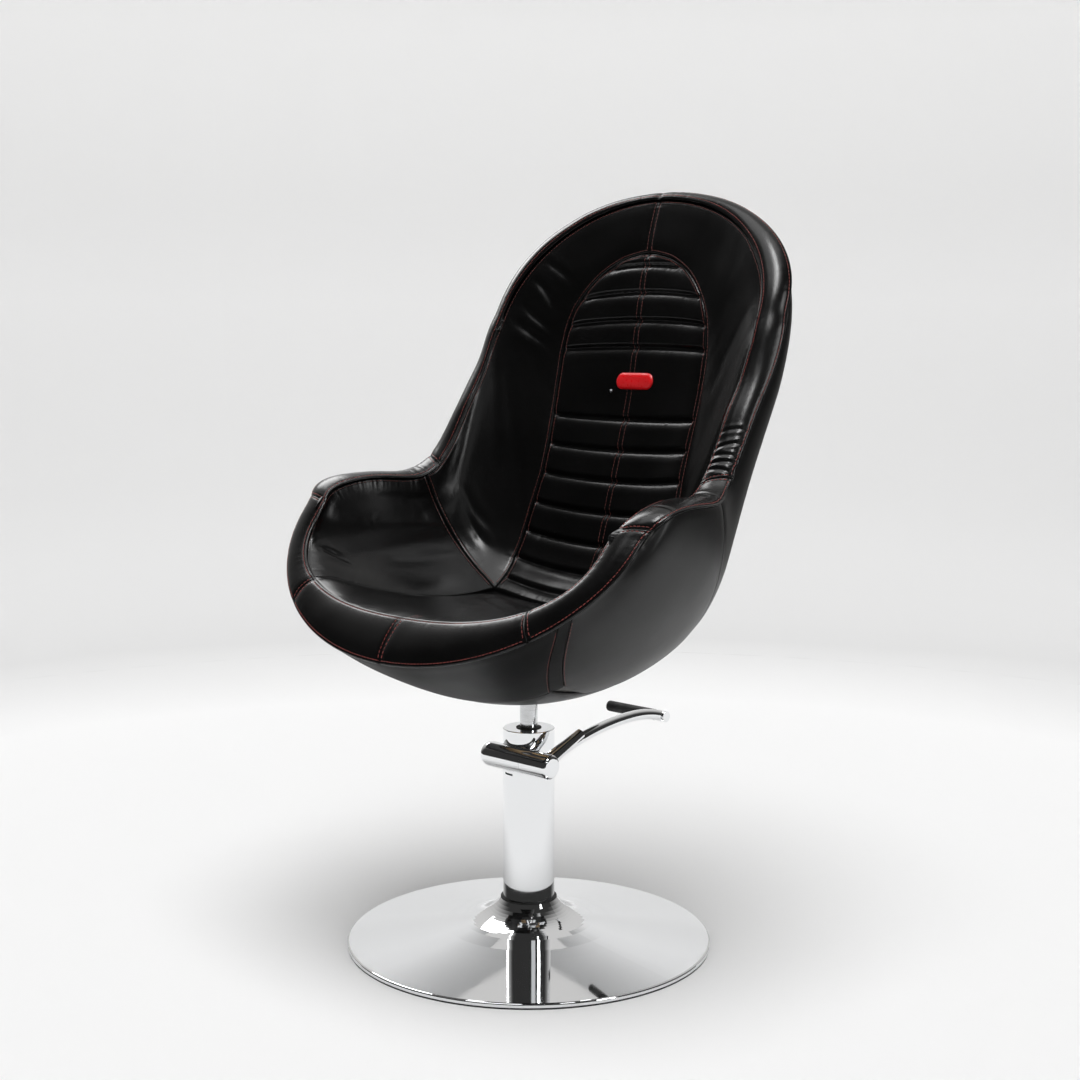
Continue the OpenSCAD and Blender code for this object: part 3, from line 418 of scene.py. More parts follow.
class Nodes:
    """A node tree, with short ways to add nodes. A socket takes a value or another node's output."""

    def __init__(self, tree):
        self.tree = tree
        self.spots = self.add("ShaderNodeTexCoord").outputs
        self.place = self.spots["Object"]

    def set(self, node, sockets):
        for key, value in sockets.items():
            if isinstance(value, bpy.types.NodeSocket):
                self.tree.links.new(value, node.inputs[key])
            else:
                node.inputs[key].default_value = value

    def add(self, kind, sockets=None, **values):
        node = self.tree.nodes.new(kind)
        for key, value in values.items():
            setattr(node, key, value)
        self.set(node, sockets or {})
        return node

    def stretched(self, scale):
        """Object coordinates scaled unevenly, for grain that runs one way."""
        return self.add("ShaderNodeMapping", {"Scale": scale, "Vector": self.place}).outputs["Vector"]

    def noise(self, scale, detail=3, place=None):
        sockets = {"Scale": scale, "Detail": detail, "Vector": place or self.place}
        return self.add("ShaderNodeTexNoise", sockets).outputs["Fac"]

    def cells(self, scale, feature="F1"):
        sockets = {"Scale": scale, "Vector": self.place}
        return self.add("ShaderNodeTexVoronoi", sockets, feature=feature).outputs["Distance"]

    def ramp(self, value, stops):
        """Stops are (place, colour); one number stands for a grey."""
        node = self.add("ShaderNodeValToRGB", {"Fac": value})
        while len(node.color_ramp.elements) < len(stops):
            node.color_ramp.elements.new(0.5)
        for element, (spot, colour) in zip(node.color_ramp.elements, stops):
            element.position = spot
            element.color = (*np.broadcast_to(colour, 3), 1)
        return node.outputs["Color"]

    def spread(self, value, low, high, from_low=0.3, from_high=0.7, **values):
        sockets = {"Value": value, "From Min": from_low, "From Max": from_high, "To Min": low, "To Max": high}
        return self.add("ShaderNodeMapRange", sockets, **values).outputs["Result"]

    def combine(self, kind, a, b):
        return self.add("ShaderNodeMath", {0: a, 1: b}, operation=kind).outputs["Value"]

    def bump(self, *layers):
        """Layers are (height, size in millimetres); they add up in one normal."""
        under = {}
        for value, size in layers:
            sockets = {"Strength": 1.0, "Distance": size * MM, "Height": value, **under}
            node = self.add("ShaderNodeBump", sockets)
            under = {"Normal": node.outputs["Normal"]}
        return under["Normal"]

    def wear(self, low, high):
        """How far a spot stands out on an edge, from 0 to 1."""
        return self.spread(self.add("ShaderNodeNewGeometry").outputs["Pointiness"], 0, 1, low, high)


class Finish(Nodes):
    """A new material. Its shader's sockets are set by their names, with _ for a space."""

    def __init__(self, name, colour, roughness, **sockets):
        FINISHES[name] = self.material = bpy.data.materials.new(name)
        self.material.use_nodes = True
        super().__init__(self.material.node_tree)
        self.feed(Base_Color=(*colour, 1), Roughness=roughness, **sockets)

    def feed(self, **sockets):
        self.set(self.tree.nodes["Principled BSDF"], {key.replace("_", " "): sockets[key] for key in sockets})


def leather(name, shade, shine, mirror=0.34):
    """Coated upholstery leather: fine pebbles, soft creases between them, and a polish that varies."""
    m = Finish(name, (shade, shade, shade * 1.05), shine, Specular_IOR_Level=mirror)
    pebbles = m.spread(m.cells(850, "DISTANCE_TO_EDGE"), 0, 1, 0.0, 0.22)
    polish = m.combine("MULTIPLY", m.wear(0.52, 0.6), 0.05)
    light = (shade * 1.3, shade * 1.28, shade * 1.3)
    m.feed(Base_Color=m.ramp(m.noise(9, 4), [(0.3, shade * 0.75), (0.7, light)]),
        Roughness=m.combine("SUBTRACT", m.spread(m.noise(14, 3), shine - 0.015, shine + 0.03), polish),
        Normal=m.bump((m.noise(90, 2), 0.06), (pebbles, 0.008)))


def thread(name, tone):
    m = Finish(name, tone, 0.55, Sheen_Weight=0.15)
    dark, light = (tuple(c * k for c in tone) for k in (0.65, 1.3))
    m.feed(Base_Color=m.ramp(m.noise(160, 2), [(0.35, dark), (0.65, light)]),
        Normal=m.bump((m.noise(2400, 1, m.stretched((1, 1, 0.4))), 0.12)))


def chrome(name, tone, rough):
    """Mirror plate with the faintest waviness and polish marks."""
    m = Finish(name, tone, rough, Metallic=1.0)
    m.feed(Roughness=m.spread(m.noise(35, 5), rough * 0.6, rough * 1.6),
        Normal=m.bump((m.noise(14, 1), 0.03), (m.noise(700, 2), 0.002)))


def turned_steel(name, tone, rough, rings=900.0):
    """Steel with fine tool marks round the upright axis."""
    m = Finish(name, tone, rough, Metallic=1.0)
    marks = m.noise(1.0, 2, m.stretched((rings / 40, rings / 40, rings)))
    dark = tuple(c * 0.8 for c in tone)
    m.feed(Base_Color=m.ramp(m.noise(30, 4), [(0.3, dark), (0.7, tone)]),
        Roughness=m.spread(marks, rough * 0.7, rough * 1.4), Normal=m.bump((marks, 0.01)))


def rubber(name):
    m = Finish(name, (.018, .018, .018), 0.62, Specular_IOR_Level=0.4)
    m.feed(Base_Color=m.ramp(m.noise(40, 4), [(0.3, .012), (0.7, (.026, .026, .025))]),
        Roughness=m.spread(m.noise(60, 4), 0.5, 0.75),
        Normal=m.bump((m.noise(900, 3), 0.04), (m.cells(1400), 0.02)))


def painted_steel(name):
    """Powder coat with its orange peel."""
    m = Finish(name, (.035, .035, .038), 0.42)
    m.feed(Base_Color=m.ramp(m.wear(0.53, 0.62), [(0.0, (.03, .03, .033)), (1.0, .09)]),
        Roughness=m.spread(m.noise(30, 4), 0.36, 0.5), Normal=m.bump((m.noise(520, 2), 0.06)))


def plywood(name):
    """Birch ply: veneer layers on its edges and long grain on its faces."""
    m = Finish(name, (.62, .45, .27), 0.6)
    layers = m.add("ShaderNodeTexWave", {"Scale": 110.0, "Distortion": 0.6, "Detail": 2.0, "Vector": m.place},
        wave_type="BANDS", bands_direction="Z")
    grain = m.noise(1.0, 6, m.stretched((180, 12, 260)))
    both = m.combine("ADD", m.combine("MULTIPLY", layers.outputs["Fac"], 0.4),
        m.combine("MULTIPLY", grain, 0.6))
    m.feed(Base_Color=m.ramp(both, [(0.2, (.42, .27, .14)), (0.5, (.62, .45, .27)), (0.8, (.72, .56, .37))]),
        Normal=m.bump((grain, 0.15)))


def shell_plastic(name):
    """Moulded shell with the flow of its chopped fibres."""
    m = Finish(name, (.07, .068, .063), 0.55)
    m.feed(Base_Color=m.ramp(m.cells(160), [(0.2, (.05, .05, .046)), (0.7, (.10, .095, .088))]),
        Normal=m.bump((m.cells(160), 0.15), (m.noise(600, 3), 0.05)))


def enamel(name):
    """Bright red enamel under clear lacquer."""
    m = Finish(name, (.75, .004, .008), 0.3, Specular_IOR_Level=0.35, Coat_Weight=0.3, Coat_Roughness=0.1)
    m.feed(Base_Color=m.ramp(m.noise(60, 2), [(0.3, (.68, .003, .006)), (0.7, (.80, .005, .010))]),
        Roughness=m.spread(m.noise(300, 2), 0.26, 0.36), Normal=m.bump((m.noise(160, 2), 0.012)))


chrome("mirror_chrome", (.86, .87, .88), 0.035)
turned_steel("ground_rod", (.74, .75, .76), 0.16)
turned_steel("zinc_steel", (.62, .62, .63), 0.32)
turned_steel("pump_steel", (.42, .43, .45), 0.36)
turned_steel("bronze", (.7, .46, .22), 0.34)
turned_steel("alloy", (.72, .73, .75), 0.3)
rubber("black_rubber")
painted_steel("dark_painted_steel")
plywood("plywood")
shell_plastic("shell_plastic")
leather("outer_leather", 0.003, 0.38)
# A shaded copy of the leather: its sheen is cut down as painted shade, standing in for the chair's shadow on
# the floor that the front cover mirrors
leather("shaded_front_leather", 0.003, 0.5, 0.09)
leather("strip_leather", 0.0025, 0.55, 0.16)
leather("pad_leather", 0.0025, 0.24)
thread("pad_thread", (.13, .02, .013))
thread("band_thread", (.24, .026, .018))
enamel("red_enamel")


def finish_nodes():
    """Each CAD node that stays takes the finish that the record names for it."""
    for part in frame["record"]["subparts"]:
        node = frame["nodes"][part["node"]]
        if not node.data.materials:
            node.data.materials.append(None)
        for slot in node.material_slots:
            slot.material = FINISHES[part["material_slot"]]


def dress(piece, node, slot, finish=None):
    """Gives a piece its finish and lets it ride on the seat in place of its CAD node."""
    piece.data.materials.append(FINISHES[finish or slot])
    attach(piece, "seat")
    if node:
        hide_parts(node)


# Seams of the inner surface, as (u, v) lines

SEAT_SIDE = EDGE_LINE[:CREASE_STEP + 1]
BACK_SIDE = EDGE_LINE[CREASE_STEP:]
CREASE_V = edge_v(CREASE_SHARE)
CREASE = between([CREASE_SHARE, -CREASE_V], [CREASE_SHARE, CREASE_V])
ARM_TOP = between([CREASE_SHARE, CREASE_V], [CREASE_SHARE + RISE_SHARE, 1])
RIM_ARM = between([0, 1], [CREASE_SHARE + RISE_SHARE, 1])
RIM_WING = np.concatenate([between([CREASE_SHARE + RISE_SHARE, 1], [1, 1]), between([1, 1], [1, 0])[1:]])
FRONT_SEAT = between([0, -edge_v(0)], [0, edge_v(0)])
FRONT_ARM = between([0, edge_v(0)], [0, 1])
SEAT_CENTRE = between([0, 0], [.035, 0])
BACK_CENTRE = between([CREASE_SHARE, 0], [ARCH_SHARE, 0], 600)
TOP_CENTRE = between([ARCH_SHARE, 0], [1, 0])


class Pad:
    """One stuffed piece of the bucket's inside, on the block that place(s, t) spans. Its methods take
    (u, v) lines of the right side and sizes in millimetres."""

    def __init__(self, place, rows, cols, side=1, centre=False):
        self.place, self.side = place, side
        (u, v), self.s, self.t = crowded_grid(place, inner, rows, cols, centre)
        self.u, self.v = u, v * side
        self.skin = inner(self.u, self.v)
        self.normal = grid_normals(self.skin, unit(self.skin - outer(self.u, self.v)))
        self.height = np.zeros(u.shape)

    def near(self, line):
        return distance_along(self.skin, on_inner(line, self.side))

    def seam(self, line, seed, roll=3, draw=3.5, reach=32, pucker=0.45, stitched=True):
        """Draws the skin in towards a seam, and says how far away each spot is."""
        d, along = self.near(line)
        self.height += rolled_edge(d, roll, draw, reach) + puckers(d, along, seed, pucker)
        if stitched:
            self.height += stitch_trough(d)
        return d

    def swell(self, seed, size, wave):
        self.height += unevenness(self.skin, seed, size, wave)

    def centre_seam(self, line, depth, width, off=STITCH_OFF):
        """A narrow groove down the middle, between two rows of stitches."""
        d, _ = self.near(line)
        self.height += stitch_trough(d, off) - depth * MM * np.exp(-(d / (width * MM)) ** 2)

    def billow(self, pressure, slack, most):
        """The leather, held at its seams, swells under the foam's pressure in a cloth simulation."""
        s, t = np.meshgrid(np.linspace(0, 1, SIM_ROWS), np.linspace(0, 1, SIM_COLS), indexing="ij")
        u, v = self.place(s, t)
        skin = inner(u, v * self.side)
        normal = grid_normals(skin, skin - outer(u, v * self.side))
        rise = np.sum((simulated(skin, pressure, slack, normal) - skin) * normal, -1)
        rise *= min(1, most * MM / np.abs(rise).max())
        self.height += spline_at(rise, self.s, self.t)

    def creases(self, folds):
        """Each wrinkle is a narrow valley between two soft lips, and fades out at its ends."""
        for line, depth, width in folds:
            d, along = self.near(curve(smooth_keys(line, [1, 1], [0, 0]), np.linspace(0, 1, 120)))
            total, width = along.max(), width * MM
            fade = np.clip(np.minimum(along, total - along) / (0.35 * total), 0, 1) ** 0.8
            lips = np.exp(-((d - 2.1 * width) / (1.3 * width)) ** 2)
            self.height -= depth * MM * fade * (np.exp(-(d / width) ** 2) - 0.5 * lips)

    def make(self, name, node, fill):
        """The skin with its heights; where two seams meet it stays above the pad's back."""
        top = self.skin + self.normal * np.maximum(self.height, LEAST_PAD - PAD_DEPTH)[..., None]
        piece = link(name, slab_mesh(name, top, pad_back(self.u, self.v)))
        dress(piece, node, "pad_leather")
        return piece


SIM_ROWS, SIM_COLS, SIM_FRAMES = 46, 30, 20


def simulated(points, pressure, slack, towards):
    """A grid of leather after a cloth simulation with its border held and pressure from behind."""
    numbers = np.arange(points[..., 0].size).reshape(points.shape[:2])
    faces = grid_faces(numbers)
    flat = points.reshape(-1, 3)
    a, b, c = flat[faces[0][:3]]
    if np.dot(np.cross(b - a, c - b), towards.reshape(-1, 3)[faces[0][0]]) < 0:
        faces = [f[::-1] for f in faces]
    cloth = link("billow", smooth_mesh("billow", flat, faces, turned=False))
    border = np.unique(np.concatenate([numbers[0], numbers[-1], numbers[:, 0], numbers[:, -1]])).tolist()
    cloth.vertex_groups.new(name="held").add(border, 1.0, "REPLACE")
    change = cloth.modifiers.new("cloth", "CLOTH")
    rules = change.settings
    rules.quality, rules.mass = 6, 0.3
    rules.tension_stiffness = rules.compression_stiffness = 18
    rules.shear_stiffness, rules.bending_stiffness = 8, 0.8
    rules.shrink_min = -slack
    rules.use_pressure, rules.uniform_pressure_force = True, pressure
    rules.vertex_group_mass = "held"
    rules.effector_weights.gravity = 0
    change.point_cache.frame_start, change.point_cache.frame_end = 1, SIM_FRAMES
    for step in range(1, SIM_FRAMES + 1):
        bpy.context.scene.frame_set(step)
    result = cloth.evaluated_get(bpy.context.evaluated_depsgraph_get()).to_mesh()
    moved = np.zeros(points.size)
    result.vertices.foreach_get("co", moved)
    bpy.data.objects.remove(cloth)
    bpy.context.scene.frame_set(1)
    return moved.reshape(points.shape)


def spline_at(grid, s, t):
    """Smooth values of a coarse, even grid at shares (s, t)."""
    def weights(share, count):
        spot = np.clip(share, 0, 1) * (count - 1)
        k = np.minimum(np.floor(spot).astype(int), count - 2)
        f = spot - k
        bends = (-f + 2 * f ** 2 - f ** 3, 2 - 5 * f ** 2 + 3 * f ** 3, f + 4 * f ** 2 - 3 * f ** 3,
            f ** 3 - f ** 2)
        return [(np.clip(k + j - 1, 0, count - 1), bends[j] / 2) for j in range(4)]
    total = np.zeros(s.shape)
    for i, a in weights(s, grid.shape[0]):
        for j, b in weights(t, grid.shape[1]):
            total += grid[i, j] * a * b
    return total


def shift_line(line, gap):
    return even_line(beside(line, gap))


# Wrinkles: a (u, v) track through three points, with the wrinkle's depth and width in millimetres.
# Those of the seat fan out from its rear corner.
SEAT_FOLDS = [([[.302, -.23], [.283, -.02], [.268, .18]], 3.2, 6),
    ([[.290, -.24], [.262, -.06], [.238, .12]], 2.8, 7),
    ([[.268, -.27], [.236, -.14], [.205, .02]], 2.2, 8),
    ([[.300, .25], [.276, .12], [.262, -.02]], 1.6, 6)]
ARM_FOLDS = [([[.035, .775], [.070, .690], [.115, .590]], 1.3, 5),
    ([[.050, .730], [.082, .660], [.120, .565]], 0.9, 5)]
WING_FOLDS = [([[.985, .60], [.945, .49], [.905, .36]], 2.1, 6),
    ([[.968, .68], [.920, .55], [.865, .42]], 2.4, 6.5),
    ([[.935, .74], [.880, .60], [.835, .42]], 1.5, 6),
    ([[.890, .77], [.850, .60], [.812, .42]], 2.4, 7),
    ([[.480, .80], [.445, .66], [.425, .52]], 1.0, 7),
    ([[.440, .74], [.400, .58], [.385, .45]], 1.2, 7)]


SEAT_CROWN, SEAT_CROWN_REACH = 8 * MM, 55 * MM


def seat_cushion():
    half = shift_line(SEAT_SIDE, -SEAM_GAP)

    def place(s, t):
        p = line_at(half, s)
        return p[..., 0] * (CREASE_SHARE - GAP_U) / half[-1, 0], p[..., 1] * (2 * t - 1)

    pad = Pad(place, rows=130, cols=150)
    off = [pad.seam(FRONT_SEAT, 11, draw=4, reach=45),
        pad.seam(CREASE, 12, roll=5, draw=9, reach=60, stitched=False)]
    for side, seed in ((1, 13), (-1, 14)):
        off.append(pad.seam(SEAT_SIDE * [1, side], seed, draw=4.5, reach=38, pucker=0.25, stitched=False))
    pad.height += SEAT_CROWN * (1 - np.exp(-np.minimum.reduce(off) / SEAT_CROWN_REACH))
    pad.swell(1, 2.2, 110)
    pad.swell(7, 0.8, 38)
    pad.billow(4, 0.003, 7)
    pad.creases(SEAT_FOLDS)
    pad.centre_seam(SEAT_CENTRE, 0.7, 1.4)
    return pad.make("seat_cushion_pad", "seat_cushion", THICK_FILL)


def arm_pad(word):
    side = SIDE[word]
    base = shift_line(SEAT_SIDE, SEAM_GAP)

    def place(s, t):
        p = line_at(base, s)
        u = p[..., 0] * (CREASE_SHARE - GAP_U) / base[-1, 0]
        return u * (1 + RISE_SHARE * t / CREASE_SHARE), mix(p[..., 1], 1, t)

    pad = Pad(place, rows=130, cols=105, side=side)
    pad.seam(SEAT_SIDE, 21 + side, draw=4, reach=34, pucker=0.3, stitched=False)
    pad.seam(ARM_TOP, 24 + side)
    pad.seam(RIM_ARM, 27 + side, roll=5, reach=28)
    pad.seam(FRONT_ARM, 30 + side, roll=4, draw=8, reach=46)
    pad.swell(2 + side, 1.8, 90)
    pad.billow(3, 0.0015, 4)
    pad.creases(ARM_FOLDS)
    return pad.make(f"arm_pad_{word}_skin", "arm_pad_" + word, FIRM_FILL)


def wing_pad(word):
    side = SIDE[word]
    base = shift_line(BACK_SIDE, SEAM_GAP)
    base[-1, 1] = GAP_V / 2
    rim = even_line(RIM_WING)

    def place(s, t):
        p, q = line_at(base, s), line_at(rim, s)
        u = mix(p[..., 0], q[..., 0], t) + GAP_U * (1 - np.clip(s * 12, 0, 1))
        return u, mix(p[..., 1], q[..., 1], t)

    pad = Pad(place, rows=300, cols=84, side=side)
    pad.seam(BACK_SIDE, 41 + side, reach=30)
    pad.seam(ARM_TOP, 44 + side)
    pad.seam(RIM_WING, 47 + side, draw=2.5, reach=26)
    pad.seam(TOP_CENTRE, 50, roll=1.6, draw=0.8, reach=12)
    pad.swell(4 + side, 1.6, 85)
    pad.billow(3, 0.0015, 4)
    # The left wing, which people brush past, has wrinkled more
    pad.creases(WING_FOLDS if side < 0 else WING_FOLDS[-1:])
    return pad.make(f"wing_pad_{word}_skin", "wing_pad_" + word, FIRM_FILL)


# Corners of the back pad's block on its arch, and how far up its rows start to bend
ARCH_CORNER_SHARE = .872
ARCH_BEND_SHARE = .72
# A roll has a long round shoulder below its channel and hangs a little over the next one: the reach and
# the power of the fall on both sides. The slit is the sewn line itself.
BELOW_CHANNEL, ABOVE_CHANNEL = (22 * MM, 2.7), (9 * MM, 2.0)
CHANNEL_DEPTH, SLIT_DEPTH, SLIT_W = 7.5 * MM, 0.8 * MM, 1.2 * MM


def back_pad():
    edge = even_line(beside(BACK_SIDE, -SEAM_GAP), 900)
    corner = int(np.argmin(np.abs(edge[:, 0] - ARCH_CORNER_SHARE)))
    rise = even_line(edge[:corner + 1])
    over = edge[corner:]
    arch = even_line(np.concatenate([over * [1, -1], over[-2::-1]]), 500)

    def place(s, t):
        p, a = line_at(rise, s), line_at(arch, t)
        bend = np.clip((s - ARCH_BEND_SHARE) / (1 - ARCH_BEND_SHARE), 0, 1) ** 2
        u = p[..., 0] + (a[..., 0] - rise[-1, 0]) * bend + (CREASE_SHARE + GAP_U - rise[0, 0]) * (1 - s)
        return u, p[..., 1] * (2 * t - 1) + (a[..., 1] - rise[-1, 1] * (2 * t - 1)) * bend

    pad = Pad(place, rows=240, cols=130, centre=True)
    rim = np.minimum(*(pad.seam(BACK_SIDE * [1, side], seed, reach=26) for side, seed in ((1, 61), (-1, 62))))
    pad.seam(CREASE, 63, roll=5, draw=5, reach=30, stitched=False)
    hold = 1 - np.exp(-((rim + 2 * MM) / (7 * MM)) ** 2)
    for k, share in enumerate(CHANNEL_SHARES):
        d, along = pad.near(between([share, -0.4], [share, 0.4], 400))
        reach, power = (np.where(pad.u < share, low, high) for low, high in zip(BELOW_CHANNEL, ABOVE_CHANNEL))
        fall = CHANNEL_DEPTH * np.maximum(0, 1 - d / reach) ** power + SLIT_DEPTH * np.exp(-d / SLIT_W)
        pad.height += (puckers(d, along, 70 + k, 0.35, 13, 8) - fall) * hold
    pad.centre_seam(BACK_CENTRE, 0.9, 1.3, CENTRE_OFF)
    pad.swell(6, 1.0, 60)
    return pad.make("back_pad_channelled", "back_pad", THICK_FILL)


# Rim band: one loop round the rim, from the front centre up the right side, over the top and back

RIM_STEP = MM
RIM_ROUND = 7


def rim_loop():
    """Even samples of the rim's outer and inner edge, and the loop's lengths at its cross seams."""
    clear_v, clear_u = 0.985, 0.008
    right = np.concatenate([between([0, 0], [0, clear_v], 500), between([clear_u, 1], [1 - clear_u, 1], 1500),
        between([1, clear_v], [1, 0], 600)])
    left = (right * [1, -1])[-2:0:-1]
    line = np.concatenate([right, left])
    both = np.concatenate([outer(line[:, 0], line[:, 1]), inner(line[:, 0], line[:, 1])], 1)
    closed = np.concatenate([both, both[:1]])
    along = lengths((closed[:, :3] + closed[:, 3:]) / 2)
    even = np.linspace(0, along[-1], int(along[-1] / RIM_STEP), endpoint=False)
    edges = smoothed(table_at(even, along, closed), RIM_ROUND, closed=True)
    front = along[int(np.argmin(np.abs(right[:500, 1] - BAND_FRONT_SHARE)))]
    joint = along[500 + int(np.argmin(np.abs(right[500:2000, 0] - BAND_JOINT_SHARE)))]
    return edges, along[-1], front, joint


RIM_EDGES, RIM_LENGTH, FRONT_SEAM, JOINT_SEAM = rim_loop()


def rim_frame(places):
    """Outer edge, inner edge and outward direction of the rim at lengths along its loop."""
    count = len(RIM_EDGES)
    spots = np.mod(places, RIM_LENGTH) / RIM_LENGTH * count
    wide = np.concatenate([RIM_EDGES, RIM_EDGES[:1]])
    edges = table_at(spots, np.arange(count + 1), wide)
    middle = (wide[:, :3] + wide[:, 3:]) / 2
    run = np.gradient(np.concatenate([middle[-5:-1], middle, middle[1:5]]), axis=0)[4:-4]
    o, i = edges[:, :3], edges[:, 3:]
    return o, i, unit(np.cross(table_at(spots, np.arange(count + 1), run), i - o))


class Band:
    """A padded strip on the rim between two lengths of its loop, with cross seams sewn into it."""

    def __init__(self, start, end, seed, sewn, creases=()):
        self.start, self.end, self.sewn = start, end, sewn
        first, last = start + SEAM_GAP, end - SEAM_GAP
        stops = [first, *sewn, last]
        runs = [a + crowd(b - a, int((b - a) / BAND_STEP)) for a, b in zip(stops, stops[1:])]
        stations = np.concatenate([runs[0]] + [run[1:] for run in runs[1:]])
        self.o, self.i, self.out = rim_frame(stations)
        self.across = unit(self.i - self.o)
        width = np.linalg.norm(self.i - self.o, axis=1)
        x = np.stack([crowd(w, BAND_COLS) for w in width])
        width, along = width[:, None], stations[:, None] + 0 * x
        share = x / width
        crown = np.minimum(BAND_CROWN, width / 3)
        ends = np.minimum(along - first, last - along)
        side = np.minimum(x, width - x)
        y = BAND_EDGE + (crown - BAND_EDGE) * (1 - np.abs(2 * share - 1) ** BAND_POWER)
        y += rolled_edge(side, 1.7, 0, 1) + rolled_edge(ends, 1.8, 1.8, 16)
        y += stitch_trough(side) + stitch_trough(ends)
        y += puckers(x, along, seed, 0.35, 11) + puckers(width - x, along, seed + 1, 0.35, 10)
        y += puckers(ends, x, seed + 2, 0.3, 9, 8)
        for k, seam in enumerate(sewn):
            off = np.abs(along - seam)
            y += rolled_edge(off, 1.6, 1.6, 14) + stitch_trough(off)
            y += puckers(off, x, seed + 5 + k, 0.3, 9, 8)
        for spot, depth, slant in creases:
            off = along - (spot + slant * (share - 0.5)) * MM
            lips = np.exp(-((np.abs(off) - 6 * MM) / (3.4 * MM)) ** 2)
            valley = np.exp(-(off / (3.4 * MM)) ** 2) - 0.6 * lips
            y -= depth * MM * valley * np.clip(side / (6 * MM), 0, 1)
        flat = self.o[:, None] + self.across[:, None] * x[..., None]
        y += unevenness(flat, seed, 1.1, 60) * np.minimum(1, side / (12 * MM))
        out = self.out[:, None]
        self.points, self.back = flat + out * np.maximum(y, BAND_LEAST)[..., None], flat + out * BAND_BACK

    def make(self, word):
        name = "band_" + word
        self.piece = link(name, slab_mesh(name, self.points, self.back))
        dress(self.piece, "rim_" + name, "outer_leather", "pad_leather")
        return self

    def stitch(self):
        """Rows along both edges, and on both sides of every cross seam."""
        rows = Stitches([self.piece])
        for side in (self.o + self.across * STITCH_OFF, self.i - self.across * STITCH_OFF):
            rows.row(side, self.out, 0, 6, 6)
        seams = [self.start + STITCH_OFF, self.end - STITCH_OFF]
        seams += [seam + off for seam in self.sewn for off in (STITCH_OFF, -STITCH_OFF)]
        for seam in seams:
            o, i, out = (part[0] for part in rim_frame(np.array([seam])))
            rows.row(between(o, i, 40), np.repeat(out[None], 40, 0), 0, 7, 7)
        rows.make("stitches_" + self.piece.name, "outer_leather", "band_thread")


# Cross seams sewn into the strips, and short creases where the arm turns up into the back. A crease has
# its length along the rim's loop, its depth and its slant across the strip, all in millimetres.
ARM_SEAM = 452 * MM
ARM_CREASES = [(636, 0.7, 16), (655, 1.0, 22), (505, 0.7, 12)]
BACK_CREASES = [(718, 1.1, 20), (733, 1.4, 13), (745, 0.9, 22), (764, 1.1, 11), (790, 0.6, 17)]
FAR_CREASES = [(RIM_LENGTH / MM - 668, 0.6, -14), (RIM_LENGTH / MM - 640, 0.4, -10)]


def rim_bands():
    full = RIM_LENGTH
    return [Band(-FRONT_SEAM, FRONT_SEAM, 101, [0]).make("front"),
        Band(FRONT_SEAM, JOINT_SEAM, 111, [ARM_SEAM], ARM_CREASES).make("arm_right"),
        Band(full - JOINT_SEAM, full - FRONT_SEAM, 121, [full - ARM_SEAM], FAR_CREASES).make("arm_left"),
        Band(JOINT_SEAM, full - JOINT_SEAM, 131, [full / 2], BACK_CREASES).make("back")]


# Outer upholstery

def strip_v(u):
    return FRONT_SIDE_SHARE - (FRONT_SIDE_SHARE - UNDER_SIDE_SHARE) * (u / UNDER_FRONT_SHARE) ** 1.15


def side_v(u):
    behind = mix(UNDER_SIDE_SHARE + STRIP_SHARE, UNDER_SIDE_SHARE,
        np.clip((u - UNDER_FRONT_SHARE) / STRIP_SHARE, 0, 1))
    return np.where(u < UNDER_FRONT_SHARE, strip_v(np.minimum(u, UNDER_FRONT_SHARE)) + STRIP_SHARE, behind)


def cover_panel(name, place, rows, cols, seed, side=1, soft=1.0, swell=0.9):
    """A thin padded panel of the outside, drawn in at its own four edges."""
    (u, v), _, _ = crowded_grid(place, outer, rows, cols)
    v = v * side
    skin = outer(u, v)
    normal = grid_normals(skin, unit(skin - inner(u, v)))
    height = np.zeros(u.shape)
    offs = []
    for k, line in enumerate((skin[0], skin[-1], skin[:, 0], skin[:, -1])):
        d, along = distance_along(skin, line)
        offs.append(d)
        if lengths(line)[-1] > 5 * MM:
            height += rolled_edge(d, 1.8, 1.2 * soft, 16) + puckers(d, along, seed + k, 0.10 * soft, 17)
    height += unevenness(skin, seed, swell, 80) * np.minimum(1, np.minimum.reduce(offs) / (20 * MM))
    height = np.maximum(height, LEAST_COVER - COVER_T)
    return link(name, slab_mesh(name, skin + normal * height[..., None], under_outer(u, v, COVER_T)))


def dress_cover(piece, node, finish=None):
    dress(piece, node, "outer_leather", finish)
    return piece


